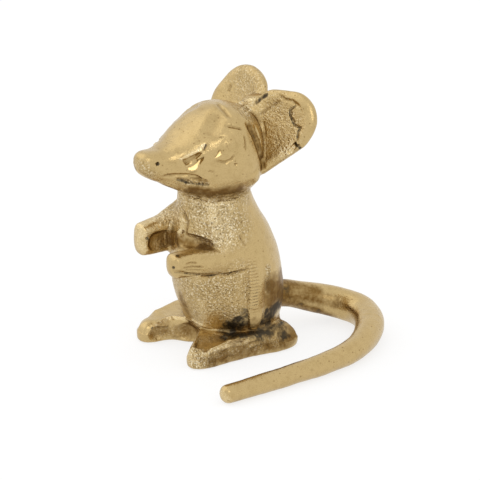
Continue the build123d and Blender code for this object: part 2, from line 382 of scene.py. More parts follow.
@dataclass
class Ear:
    """A thick ear, dished on its face, with a root that runs into the head.

    Its outline goes round its lobes, each given by its place on the ear's face and its radius.
    """

    side: Side
    place: tuple[float, float, float]
    turn: float
    lobes: tuple[tuple[float, float, float], ...]
    lean: float = 22.0
    thickness: float = 4.0
    dish: float = 1.0
    rim_share: float = 0.76

    def axes(self) -> tuple[Array, Array, Array]:
        """Returns the ear's sideways, upward and facing directions."""
        t, e = math.radians(self.turn), math.radians(self.lean)
        facing = np.array([math.cos(e) * math.sin(t), -math.cos(e) * math.cos(t), math.sin(e)])
        across = np.array([math.cos(t), math.sin(t), 0.0])
        return across, np.cross(facing, across), facing

    def reach(self, angle: Array) -> Array:
        """Returns the outline's distance from the ear's centre in each direction.

        Args:
            angle: Directions round the ear's face.

        Returns:
            The distance to the outline, which goes round the ear and its root.
        """
        ray = np.stack([np.cos(angle), np.sin(angle)], 1)
        best = np.zeros(len(angle))
        rounds = np.array(self.lobes)
        for a in rounds:
            for b in rounds:
                for s in np.linspace(0, 1, 13):
                    lobe = a + (b - a) * s
                    along = ray @ lobe[:2]
                    gap = lobe[2] ** 2 - (lobe[:2] @ lobe[:2] - along**2)
                    hit = along + np.sqrt(np.maximum(gap, 0))
                    best = np.where(gap > 0, np.maximum(best, hit), best)
        return best

    def build(self) -> bpy.types.Object:
        """Returns the ear's lump."""
        across, upward, facing = self.axes()

        def plate(polar: Array, angle: Array) -> Array:
            share = np.sin(polar) ** 0.55
            face = -np.cos(polar)
            depth = np.sign(face) * (1 - share**4.0) ** 0.34 * self.thickness / 2
            bowl = np.clip(1 - (share / self.rim_share) ** 2, 0, 1) ** 0.8
            depth = depth - np.where(face > 0, self.dish * bowl, 0)
            r = self.reach(angle) * share
            flat = np.outer(r * np.cos(angle), across) + np.outer(r * np.sin(angle), upward)
            return np.array(self.place) + flat + np.outer(depth, facing)

        return clay_ball(f"ear_{self.side.name.lower()}_clay", plate, 96, 64)


@dataclass
class Arm:
    """A forearm held forward from the flank, ending in a blunt hand."""

    side: Side
    root_height: float
    root_depth: float
    hand_height: float
    hand_depth: float
    reach: float = 26.4
    hand_width: float = 6.8
    hand_side: float = 9.3
    root_width: float = 8.6
    root_side: float = 10.8
    forward_shares: tuple[float, ...] = (-0.10, -0.08, 0.18, 0.45, 0.74, 0.93, 1.0)
    change_shares: tuple[float, ...] = (0.0, 0.0, 0.06, 0.50, 0.90, 1.0, 1.0)
    full_shares: tuple[float, ...] = (0.0, 0.74, 1.0, 1.0, 1.0, 0.97, 0.0)

    def build(self) -> bpy.types.Object:
        """Returns the arm's lump."""
        low, high = self.forward_shares[0], self.forward_shares[-1]
        knots = polar_of([(f - low) / (high - low) for f in self.forward_shares])

        def limb(polar: Array, angle: Array) -> Array:
            forward = (low + (high - low) * (1 - np.cos(polar)) / 2) * self.reach
            change = smooth_curve(knots, self.change_shares, polar)
            full = smooth_curve(knots, self.full_shares, polar)
            across, lift = squared(angle, 0.72)
            side = self.root_side + change * (self.hand_side - self.root_side)
            height = self.root_height + change * (self.hand_height - self.root_height)
            width = self.root_width + change * (self.hand_width - self.root_width)
            depth = self.root_depth + change * (self.hand_depth - self.root_depth)
            x = self.side.value * (side + full * width / 2 * across)
            return np.stack([x, -forward, height + full * depth / 2 * lift], 1)

        return clay_ball(f"arm_{self.side.name.lower()}_clay", limb, 64, 64)


@dataclass
class Foot:
    """A flat foot, drawn from above and cut to a thickness, that spreads under the belly."""

    side: Side
    outline: tuple[Spot, ...]
    height: float = 6.4
    edge: float = 1.3
    instep: float = 0.0

    def build(self) -> bpy.types.Object:
        """Returns the foot's lump, its top rising to the instep under the belly."""
        corners = np.array(self.outline + self.outline[:1])
        chord = np.concatenate([[0], np.cumsum(np.linalg.norm(np.diff(corners, axis=0), axis=1))])
        wrapped = np.concatenate([corners[-4:-1], corners, corners[1:4]])
        knots = np.concatenate([chord[-4:-1] - chord[-1], chord, chord[1:4] + chord[-1]])
        count = 160
        rim = natural_spline(knots, wrapped, np.linspace(0, chord[-1], count, endpoint=False))
        deselect()
        bpy.ops.mesh.primitive_circle_add(vertices=count, radius=1.0, fill_type="NGON", location=(0, 0, 0))
        foot = bpy.context.object
        foot.name = f"foot_{self.side.name.lower()}_clay"
        write_points(foot.data, np.column_stack([rim, np.zeros(count)]))
        bpy.ops.object.mode_set(mode="EDIT")
        bpy.ops.mesh.select_all(action="SELECT")
        bpy.ops.mesh.extrude_region_move(TRANSFORM_OT_translate={"value": (0, 0, self.height)})
        bpy.ops.mesh.select_all(action="SELECT")
        bpy.ops.mesh.normals_make_consistent(inside=False)
        bpy.ops.mesh.select_all(action="DESELECT")
        bpy.ops.object.mode_set(mode="OBJECT")
        for face in foot.data.polygons:
            face.select = abs(face.normal.z) > 0.9
        bpy.ops.object.mode_set(mode="EDIT")
        bpy.ops.mesh.bevel(offset=self.edge, segments=4, affect="EDGES")
        bpy.ops.mesh.select_all(action="SELECT")
        bpy.ops.mesh.quads_convert_to_tris(quad_method="BEAUTY", ngon_method="BEAUTY")
        bpy.ops.object.mode_set(mode="OBJECT")
        p = read_points(foot.data)
        p[:, 2] += self.instep * np.clip((p[:, 1] + 20.0) / 13.0, 0, 1) * p[:, 2] / self.height
        write_points(foot.data, p)
        return foot


@dataclass
class Tail:
    """A tapering rod that leaves the back, bends round and lies along the left side."""

    floor_lift: float = 0.1
    run_shares: tuple[float, ...] = (0.0, 0.10, 0.26, 0.42, 0.58, 0.75, 1.0)
    radii: tuple[float, ...] = (4.1, 4.2, 4.8, 4.4, 3.55, 3.1, 2.8)
    knots: tuple[tuple[float, float, float], ...] = (
        (0.0, 11.2, 11.2),
        (-0.4, 22.0, 9.6),
        (1.9, 30.4, 7.2),
        (6.6, 36.6, 5.6),
        (13.4, 39.4, 4.9),
        (21.8, 37.2, 4.7),
        (30.4, 30.2, 4.4),
        (36.4, 20.8, 3.9),
        (39.2, 10.0, 3.4),
        (40.7, -6.0, 3.1),
        (41.7, -30.2, 2.9),
    )

    def route(self) -> Array:
        """Returns points along the middle of the tail, evenly spaced."""
        knots = np.array(self.knots)
        chord = np.concatenate([[0], np.cumsum(np.linalg.norm(np.diff(knots, axis=0), axis=1))])
        fine = np.linspace(0, chord[-1], 400)
        line = natural_spline(chord, knots, fine)
        run = np.concatenate([[0], np.cumsum(np.linalg.norm(np.diff(line, axis=0), axis=1))])
        even = np.linspace(0, run[-1], 200)
        return np.stack([np.interp(even, run, line[:, i]) for i in range(3)], 1)

    def build(self) -> bpy.types.Object:
        """Returns the tail's lump."""
        line = self.route()
        ahead = unit(np.gradient(line, axis=0))
        across = unit(np.cross(ahead, np.array([0.0, 0.0, 1.0])))
        lift = np.cross(across, ahead)
        run = np.linspace(0, 1, len(line))
        radius = smooth_curve(self.run_shares, self.radii, run)
        line[:, 2] = np.where(run > 0.42, radius + self.floor_lift, line[:, 2])
        length = np.linalg.norm(np.diff(line, axis=0), axis=1).sum()

        def rod(polar: Array, angle: Array) -> Array:
            share = polar / math.pi
            nib = 0.85 * self.radii[-1] / length
            end = np.clip((1 - share) / nib, 0, 1)
            start = np.clip(share / nib, 0, 1)
            full = np.sqrt(1 - (1 - end) ** 2) * np.sqrt(1 - (1 - start) ** 2)
            r = np.interp(share, run, radius) * full
            place = np.stack([np.interp(share, run, line[:, i]) for i in range(3)], 1)
            a = np.stack([np.interp(share, run, across[:, i]) for i in range(3)], 1)
            b = np.stack([np.interp(share, run, lift[:, i]) for i in range(3)], 1)
            return place + a * (r * np.cos(angle))[:, None] + b * (r * np.sin(angle))[:, None]

        return clay_ball("tail_clay", rod, 48, 400)


def natural_spline(knots: Array, values: Array, at: Array) -> Array:
    """Reads a cubic spline with free ends through points.

    Args:
        knots: Places of the points along the line, rising.
        values: The points, one row each.
        at: Places to read.

    Returns:
        One row for each place.
    """
    n = len(knots)
    h = np.diff(knots)
    a = np.zeros((n, n))
    b = np.zeros((n, values.shape[1]))
    a[0, 0] = a[-1, -1] = 1.0
    for i in range(1, n - 1):
        a[i, i - 1 : i + 2] = h[i - 1], 2 * (h[i - 1] + h[i]), h[i]
        b[i] = 6 * ((values[i + 1] - values[i]) / h[i] - (values[i] - values[i - 1]) / h[i - 1])
    m = np.linalg.solve(a, b)
    i = np.clip(np.searchsorted(knots, at) - 1, 0, n - 2)
    left, right, step = (knots[i + 1] - at)[:, None], (at - knots[i])[:, None], h[i][:, None]
    curve = (m[i] * left**3 + m[i + 1] * right**3) / (6 * step)
    from_left = (values[i] / step - m[i] * step / 6) * left
    from_right = (values[i + 1] / step - m[i + 1] * step / 6) * right
    return curve + from_left + from_right


def join(lumps: list[bpy.types.Object]) -> bpy.types.Object:
    """Joins lumps into the first of them.

    Args:
        lumps: The lumps.

    Returns:
        The first lump, which now holds the others too.
    """
    pick(lumps[0])
    for lump in lumps[1:]:
        lump.select_set(True)
    bpy.ops.object.join()
    return lumps[0]


def tree_of(obj: bpy.types.Object) -> BVHTree:
    """Returns a search tree of an object's surface."""
    mesh = obj.data
    points = [v.co.copy() for v in mesh.vertices]
    return BVHTree.FromPolygons(points, [tuple(p.vertices) for p in mesh.polygons])


@dataclass(frozen=True)
class Gouge:
    """A line cut into the pattern, or raised where the depth is negative; a keen one has a sharp floor."""

    line: tuple[Spot, ...]
    width: float
    depth: float
    mirrored: bool = False
    keen: bool = False


@dataclass(frozen=True)
class Facet:
    """A flat pared inside an outline, leant to the right and up, or turned to catch the front lamp."""

    outline: tuple[Spot, ...]
    sink: float = 0.0
    lean: Spot = (0.0, 0.0)
    catch: float = 0.0
    mirrored: bool = True


@dataclass(frozen=True)
class Scoop:
    """A round-ended hollow, cut into one casting from one side."""

    casting: Casting
    start: tuple[float, float, float]
    end: tuple[float, float, float]
    radius: float
    way: tuple[float, float, float]


@dataclass(frozen=True)
class Dab:
    """A patch of finish, of painted highlight or of painted shade, rubbed on along a line."""

    line: tuple[Spot, ...]
    reach: float
    amount: float = 1.0
    mirrored: bool = False


class Pattern:
    """The pressed pattern's surface, held as arrays while it is worked over."""

    trace_step = 1.2
    same_side = -0.15
    fold_turn = -0.2
    fold_spread = 4
    fold_gain = 1.5
    fold_rub = 0.7
    fold_rounds = 30
    taper_share = 0.2
    taper_least = 0.3
    broad_width = 1.9
    broad_rub = 0.6
    broad_rounds = 12
    facet_reach = 9.0
    facet_side = 0.2
    facet_edge = 1.1
    crown_foot = 0.8
    crown_rub = 0.6
    crown_rounds = 14
    lump_shift = 7.3

    def __init__(self, obj: bpy.types.Object, view: Viewpoint) -> None:
        """Reads the surface.

        Args:
            obj: The pressed lump, all of quads.
            view: Where its picture is taken from.
        """
        self.obj = obj
        self.view = view
        mesh = obj.data
        self.points = read_points(mesh)
        loops = np.empty(len(mesh.loops), np.int64)
        mesh.loops.foreach_get("vertex_index", loops)
        self.quads = loops.reshape(-1, 4)
        pairs = np.empty(len(mesh.edges) * 2, np.int64)
        mesh.edges.foreach_get("vertices", pairs)
        self.edges = pairs.reshape(-1, 2)
        both = np.concatenate([self.edges[:, 0], self.edges[:, 1]])
        self.degree = np.maximum(np.bincount(both, minlength=len(self.points)), 1)
        self.finish_and_painted_light: dict[str, Array] = {}
        self.refresh()

    def refresh(self) -> None:
        """Works out normals and the search tree again after the surface has moved."""
        write_points(self.obj.data, self.points)
        flat = np.empty(len(self.points) * 3)
        self.obj.data.vertex_normals.foreach_get("vector", flat)
        self.normals = flat.reshape(-1, 3)
        self.tree = BVHTree.FromPolygons(self.points.tolist(), self.quads.tolist())

    def mean(self, values: Array) -> Array:
        """Returns the mean of each point's neighbours.

        Args:
            values: One number or row for each point.

        Returns:
            The means, in the same form.
        """
        a, b = self.edges[:, 0], self.edges[:, 1]
        n = len(self.points)
        columns = values.reshape(n, -1)
        total = np.stack(
            [np.bincount(a, c[b], n) + np.bincount(b, c[a], n) for c in columns.T],
            1,
        )
        return (total / self.degree[:, None]).reshape(values.shape)

    def relax(self, weight: Array | float, rounds: int) -> None:
        """Rubs the surface smooth.

        Args:
            weight: How much each point moves to its neighbours' mean, from 0 to 1.
            rounds: How many times.
        """
        w = np.broadcast_to(np.asarray(weight, float), (len(self.points),))[:, None]
        for _ in range(rounds):
            self.points = self.points + w * (self.mean(self.points) - self.points)

    def mend(self) -> int:
        """Smooths out the places where the surface has folded over.

        Returns:
            How many folds there were.
        """
        corners = self.points[self.quads]
        facing = unit(np.cross(corners[:, 2] - corners[:, 0], corners[:, 3] - corners[:, 1]))
        pairs = neighbours(self.quads)
        folds = pairs[(facing[pairs[:, 0]] * facing[pairs[:, 1]]).sum(1) < self.fold_turn]
        weight = np.zeros(len(self.points))
        weight[self.quads[folds.ravel()].ravel()] = 1.0
        for _ in range(self.fold_spread):
            weight = np.maximum(weight, self.mean(weight))
        self.relax(np.clip(weight * self.fold_gain, 0, 1) * self.fold_rub, self.fold_rounds)
        return len(folds)

    def spot(self, at: Spot) -> tuple[Array, Array] | None:
        """Finds the surface seen at a place in the picture.

        Args:
            at: Across and down in the picture.

        Returns:
            The place and its normal, or nothing beside the figure.
        """
        eye, aim = self.view.ray(at)
        place, normal, _, _ = self.tree.ray_cast(eye, aim)
        return None if place is None else (np.array(place), np.array(normal))

    def trace(self, line: Sequence[Spot], mirrored: bool) -> list[tuple[Array, Array, Array]]:
        """Lays a line of the picture on the surface.

        Args:
            line: The line's corners.
            mirrored: True to lay it on the other side of the figure too.

        Returns:
            For each side: places, normals, and the share of the way along.
        """
        steps: list[Spot] = []
        for a, b in zip(line[:-1], line[1:]):
            count = max(2, int(math.dist(a, b) / self.trace_step))
            across, down = b[0] - a[0], b[1] - a[1]
            steps += [(a[0] + across * i / count, a[1] + down * i / count) for i in range(count)]
        steps.append(line[-1])
        hits = [h for h in (self.spot(s) for s in steps) if h is not None]
        if not hits:
            return []
        places = np.array([h[0] for h in hits])
        normals = np.array([h[1] for h in hits])
        share = np.linspace(0, 1, len(hits)) if len(hits) > 1 else np.array([0.5])
        runs = [(places, normals, share)]
        if mirrored:
            flip = np.array([-1.0, 1.0, 1.0])
            found = [self.tree.find_nearest(Vector(p)) for p in places * flip]
            runs.append((np.array([f[0] for f in found]), np.array([f[1] for f in found]), share))
        return runs

    def near(self, run: tuple[Array, Array, Array], reach: float) -> tuple[Array, Array, Array]:
        """Finds the points near a line on the surface, on its own side.

        Args:
            run: Places, normals and shares, from trace.
            reach: How far.

        Returns:
            The points' numbers, their distance over the reach, and the nearest place on the line.
        """
        places, normals, _ = run
        low, high = places.min(0) - reach, places.max(0) + reach
        which = np.nonzero(((self.points > low) & (self.points < high)).all(1))[0]
        gap = np.linalg.norm(self.points[which][:, None] - places[None], axis=2)
        step = gap.argmin(1)
        gap = gap[np.arange(len(which)), step] / reach
        ok = (gap < 1) & ((self.normals[which] * normals[step]).sum(1) > self.same_side)
        return which[ok], gap[ok], step[ok]

    def gouge(self, cut: Gouge) -> None:
        """Works one line into the surface."""
        for run in self.trace(cut.line, cut.mirrored):
            which, gap, step = self.near(run, cut.width)
            if not len(which):
                continue
            share = run[2][step]
            taper = np.clip(np.minimum(share, 1 - share) / self.taper_share + self.taper_least, 0, 1)
            depth = cut.depth * taper * ((1 - gap) if cut.keen else (1 - gap**2) ** 2)
            broad = cut.width > self.broad_width
            way = unit(run[1].mean(0))[None] if broad else run[1][step]
            self.points[which] -= way * depth[:, None]
            if broad:
                weight = np.zeros(len(self.points))
                weight[which] = self.broad_rub
                self.relax(weight, self.broad_rounds)

    def pare(self, cut: Facet) -> None:
        """Pares one flat on the surface, and polishes it where it catches the lamp."""
        right, up, _ = self.view.axes()
        middle = tuple(np.mean(cut.outline, axis=0))
        hits = [h for h in (self.spot(s) for s in (*cut.outline, middle)) if h is not None]
        if len(hits) < 3:
            return
        place = np.mean([h[0] for h in hits], axis=0)
        normal = unit(np.mean([h[1] for h in hits], axis=0))
        facing = unit(normal + right * cut.lean[0] + up * cut.lean[1])
        facing = unit(facing * (1 - cut.catch) + unit(np.array(self.view.glint)) * cut.catch)
        polish = self.finish_and_painted_light.setdefault("polish", np.zeros(len(self.points)))
        for side in Side if cut.mirrored else (Side.LEFT,):
            flip = np.array([side.value, 1.0, 1.0])
            points = self.points * flip
            which = np.nonzero(np.linalg.norm(points - place, axis=1) < self.facet_reach)[0]
            deep = depth_inside(self.view.picture_of(points[which]), cut.outline)
            ok = (deep > 0) & ((self.normals[which] * flip) @ normal > self.facet_side)
            which, fade = which[ok], np.clip(deep[ok] / self.facet_edge, 0, 1)
            height = (points[which] - place) @ facing + cut.sink
            moved = points[which] - normal * (height / (facing @ normal) * fade)[:, None]
            self.points[which] = moved * flip
            polish[which] = np.maximum(polish[which], cut.catch * fade)

    def scoop(self, cut: Scoop, mine: Array) -> None:
        """Cuts one hollow.

        Args:
            cut: The hollow.
            mine: One for each point of its casting, and nought for the others.
        """
        start, way = np.array(cut.start), unit(np.array(cut.way))
        run = np.array(cut.end) - start
        share = np.clip((self.points - start) @ run / (run @ run), 0, 1)
        out = self.points - start - share[:, None] * run
        gap = (out * out).sum(1)
        which = np.nonzero((gap < cut.radius**2) & (mine > 0))[0]
        push = out[which] @ way
        far = -push + np.sqrt(push**2 - gap[which] + cut.radius**2)
        self.points[which] += way * far[:, None]

    def crown(self, mine: Array, outline: Sequence[Spot], height: Array, low: float, radius: float) -> None:
        """Rounds the top of a flat piece down to its edge.

        Args:
            mine: How much of it each point gets, from 0 to 1.
            outline: The piece's outline from above.
            height: The height of its top at each point.
            low: The height that its edge comes down to.
            radius: How far in from the edge the rounding goes.
        """
        which = np.nonzero((mine > 0) & (self.points[:, 2] > low))[0]
        deep = np.clip(depth_inside(self.points[which, :2], outline) / radius, 0, 1)
        most = low + (height[which] - low) * np.sqrt(1 - (1 - deep) ** 2)
        drop = np.maximum(self.points[which, 2] - most, 0)
        self.points[which, 2] -= drop * mine[which]
        above = self.points[:, 2] > self.crown_foot
        self.relax(np.clip(mine, 0, 1) * above * self.crown_rub, self.crown_rounds)

    def roughen(self, size: float, height: float, weight: Array | float = 1.0) -> None:
        """Makes the surface uneven.

        Args:
            size: How wide a lump is.
            height: How high a lump is.
            weight: How much of it each point gets, from 0 to 1.
        """
        lumps = np.array([noise.noise(p) for p in (self.points / size + self.lump_shift).tolist()])
        self.points = self.points + self.normals * (height * lumps * weight)[:, None]

    def rub(self, name: str, dab: Dab) -> None:
        """Rubs one patch of finish, of painted highlight or of painted shade on.

        Args:
            name: The layer, which holds a finish, painted highlights or painted shade.
            dab: The patch.
        """
        layer = self.finish_and_painted_light.setdefault(name, np.zeros(len(self.points)))
        for run in self.trace(dab.line, dab.mirrored):
            which, gap, _ = self.near(run, dab.reach)
            layer[which] = np.maximum(layer[which], dab.amount * (1 - gap**2))

    def hollow(self, rounds: int, depth: float) -> Array:
        """Finds hollows and edges.

        Args:
            rounds: How wide to look, in rounds of smoothing.
            depth: The depth that counts as one.

        Returns:
            Positive in hollows and negative on edges, about -1 to 1.
        """
        smooth = self.points
        for _ in range(rounds):
            smooth = self.mean(smooth)
        return np.clip(((smooth - self.points) * self.normals).sum(1) / depth, -1, 1)


@dataclass
class Figure:
    """The whole mouse, from lumps of clay to castings."""

    view: Viewpoint = field(default_factory=Viewpoint)
    torso: Torso = field(default_factory=Torso)
    head: Head = field(default_factory=Head)
    ear_left: Ear = field(
        default_factory=lambda: Ear(
            Side.LEFT,
            (11.6, 13.0, 69.2),
            25.0,
            ((1.7, 1.7, 8.5), (0.8, 0.3, 8.7), (-4.5, 2.5, 7.3), (-9.5, -8.2, 9.2)),
        )
    )
    ear_right: Ear = field(
        default_factory=lambda: Ear(
            Side.RIGHT,
            (-9.8, 11.6, 71.4),
            5.0,
            ((0.8, 0.3, 10.5), (-3.4, -3.0, 8.5), (6.5, -8.2, 9.0)),
        )
    )
    arm_left: Arm = field(default_factory=lambda: Arm(Side.LEFT, 30.4, 8.6, 31.9, 7.6, 27.0))
    arm_right: Arm = field(default_factory=lambda: Arm(Side.RIGHT, 36.8, 18.4, 34.4, 10.2))
    foot_left: Foot = field(default_factory=lambda: Foot(Side.LEFT, LEFT_SOLE, instep=1.2))
    foot_right: Foot = field(default_factory=lambda: Foot(Side.RIGHT, RIGHT_SOLE, instep=2.0))
    tail: Tail = field(default_factory=Tail)
    seat: float = 1.2
    sort_reach: float = 1.5
    sort_far: float = 9.0
    sort_votes: int = 8
    own_vote: float = 1.5
    seam_gain: float = 1.6

    def press(self) -> tuple[Pattern, Array]:
        """Presses the lumps together.

        Returns:
            The pattern, and the casting that each of its faces belongs to.
        """
        makers = {
            Casting.TORSO: self.torso,
            Casting.HEAD: self.head,
            Casting.EAR_LEFT: self.ear_left,
            Casting.EAR_RIGHT: self.ear_right,
            Casting.ARM_LEFT: self.arm_left,
            Casting.ARM_RIGHT: self.arm_right,
            Casting.FOOT_LEFT: self.foot_left,
            Casting.FOOT_RIGHT: self.foot_right,
            Casting.TAIL: self.tail,
        }
        lumps = {casting: maker.build() for casting, maker in makers.items()}
        trees = [tree_of(lump) for lump in lumps.values()]
        whole = join(list(lumps.values()))
        whole.name = "pattern"
        remesh = whole.modifiers.new("press", "REMESH")
        remesh.mode = "VOXEL"
        remesh.voxel_size = VOXEL
        bpy.ops.object.modifier_apply(modifier=remesh.name)
        pattern = Pattern(whole, self.view)
        labels = self.sort(pattern, trees)
        LOG.info("pressed: %d points", len(pattern.points))
        return pattern, labels

    def sort(self, pattern: Pattern, trees: list[BVHTree]) -> Array:
        """Finds the casting that each face belongs to.

        Args:
            pattern: The pressed pattern.
            trees: The search tree of each lump.

        Returns:
            The casting's number for each face.
        """
        centres = pattern.points[pattern.quads].mean(1)
        gaps = np.full((len(centres), len(trees)), self.sort_far)
        for column, tree in enumerate(trees):
            for row, centre in enumerate(centres.tolist()):
                found = tree.find_nearest(centre, self.sort_reach)
                if found[0] is not None:
                    gaps[row, column] = found[3]
        labels = gaps.argmin(1)
        pairs = neighbours(pattern.quads)
        for _ in range(self.sort_votes):
            votes = np.zeros((len(labels), len(trees)))
            np.add.at(votes, (pairs[:, 0], labels[pairs[:, 1]]), 1)
            np.add.at(votes, (pairs[:, 1], labels[pairs[:, 0]]), 1)
            votes[np.arange(len(labels)), labels] += self.own_vote
            labels = votes.argmax(1)
        return labels

    def seams(self, pattern: Pattern, labels: Array, reach: int) -> Array:
        """Finds the places near the seams between castings.

        Args:
            pattern: The pressed pattern.
            labels: The casting of each face.
            reach: How far from the seam, in points.

        Returns:
            One at a seam, falling to nought, for each point.
        """
        low = np.full(len(pattern.points), len(Casting))
        high = np.zeros(len(pattern.points), int)
        for corner in pattern.quads.T:
            np.minimum.at(low, corner, labels)
            np.maximum.at(high, corner, labels)
        weight = (low != high).astype(float)
        for _ in range(reach):
            weight = np.maximum(weight, pattern.mean(weight))
        return np.clip(weight * self.seam_gain, 0, 1)

    def cast(self, pattern: Pattern, labels: Array, brass: bpy.types.Material) -> list[bpy.types.Object]:
        """Cuts the pattern along its seams into one closed piece for each casting.

        Args:
            pattern: The finished pattern.
            labels: The casting of each face.
            brass: The metal.

        Returns:
            The pieces, in metres and in their places.
        """
        pattern.refresh()
        mesh = pattern.obj.data
        for name, layer in pattern.finish_and_painted_light.items():
            store = mesh.attributes.new(name, "FLOAT", "POINT")
            store.data.foreach_set("value", np.clip(layer, 0, 1).astype(np.float32))
        store = mesh.attributes.new("facing", "FLOAT_VECTOR", "POINT")
        store.data.foreach_set("vector", pattern.normals.astype(np.float32).ravel())
        mesh.materials.clear()
        for casting in Casting:
            mesh.materials.append(bpy.data.materials.new(f"cut_{casting.value}"))
        mesh.polygons.foreach_set("material_index", labels.astype(np.int32))
        pick(pattern.obj)
        bpy.ops.object.mode_set(mode="EDIT")
        bpy.ops.mesh.select_all(action="SELECT")
        bpy.ops.mesh.separate(type="MATERIAL")
        bpy.ops.object.mode_set(mode="OBJECT")
        pieces = []
        for piece in list(bpy.context.selected_objects):
            name = piece.material_slots[piece.data.polygons[0].material_index].material.name
            casting = Casting(name.removeprefix("cut_"))
            self.close(piece, casting, brass)
            pieces.append(piece)
        for casting in Casting:
            bpy.data.materials.remove(bpy.data.materials[f"cut_{casting.value}"])
        return pieces

    def close(self, piece: bpy.types.Object, casting: Casting, brass: bpy.types.Material) -> None:
        """Closes one cut-out piece and puts it in the place of its casting.

        Args:
            piece: The piece.
            casting: The casting that it is.
            brass: The metal.
        """
        piece.name = f"{casting.value}_casting"
        pick(piece)
        bpy.ops.object.mode_set(mode="EDIT")
        bpy.ops.mesh.select_mode(type="EDGE")
        bpy.ops.mesh.select_all(action="DESELECT")
        bpy.ops.mesh.select_non_manifold(
            extend=False,
            use_wire=False,
            use_boundary=True,
            use_multi_face=False,
            use_non_contiguous=False,
            use_verts=False,
        )
        bpy.ops.mesh.extrude_edges_move(TRANSFORM_OT_translate={"value": (0, 0, 0)})
        bpy.ops.object.mode_set(mode="OBJECT")
        mesh = piece.data
        rim = np.empty(len(mesh.vertices), bool)
        mesh.vertices.foreach_get("select", rim)
        write_points(mesh, read_points(mesh) - read_facing(mesh) * (self.seat * rim)[:, None])
        bpy.ops.object.mode_set(mode="EDIT")
        bpy.ops.mesh.fill_holes(sides=0)
        bpy.ops.mesh.select_all(action="SELECT")
        bpy.ops.mesh.normals_make_consistent(inside=False)
        bpy.ops.object.mode_set(mode="OBJECT")
        mesh.materials.clear()
        mesh.materials.append(brass)
        mesh.polygons.foreach_set("material_index", np.zeros(len(mesh.polygons), np.int32))
        mesh.transform(Matrix.Scale(MM, 4))
        mesh.polygons.foreach_set("use_smooth", np.ones(len(mesh.polygons), bool))
        mesh.normals_split_custom_set_from_vertices(read_facing(mesh).tolist())
        mesh.attributes.remove(mesh.attributes["facing"])
        mesh.update()
        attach(piece, "root")
        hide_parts(casting.value)
        LOG.info("%s: %d faces", piece.name, len(mesh.polygons))


def read_facing(mesh: bpy.types.Mesh) -> Array:
    """Returns the way that the pattern faced at each point of a piece."""
    flat = np.empty(len(mesh.vertices) * 3, np.float32)
    mesh.attributes["facing"].data.foreach_get("vector", flat)
    return flat.reshape(-1, 3)


def neighbours(quads: Array) -> Array:
    """Finds the faces that share an edge.

    Args:
        quads: The corners of each face.

    Returns:
        Pairs of face numbers.
    """
    ends = np.stack([quads, np.roll(quads, -1, axis=1)], 2).reshape(-1, 2)
    ends.sort(axis=1)
    key = ends[:, 0] * (quads.max() + 1) + ends[:, 1]
    order = np.argsort(key, kind="stable")
    owner = np.repeat(np.arange(len(quads)), 4)[order]
    same = key[order][1:] == key[order][:-1]
    return np.stack([owner[:-1][same], owner[1:][same]], 1)


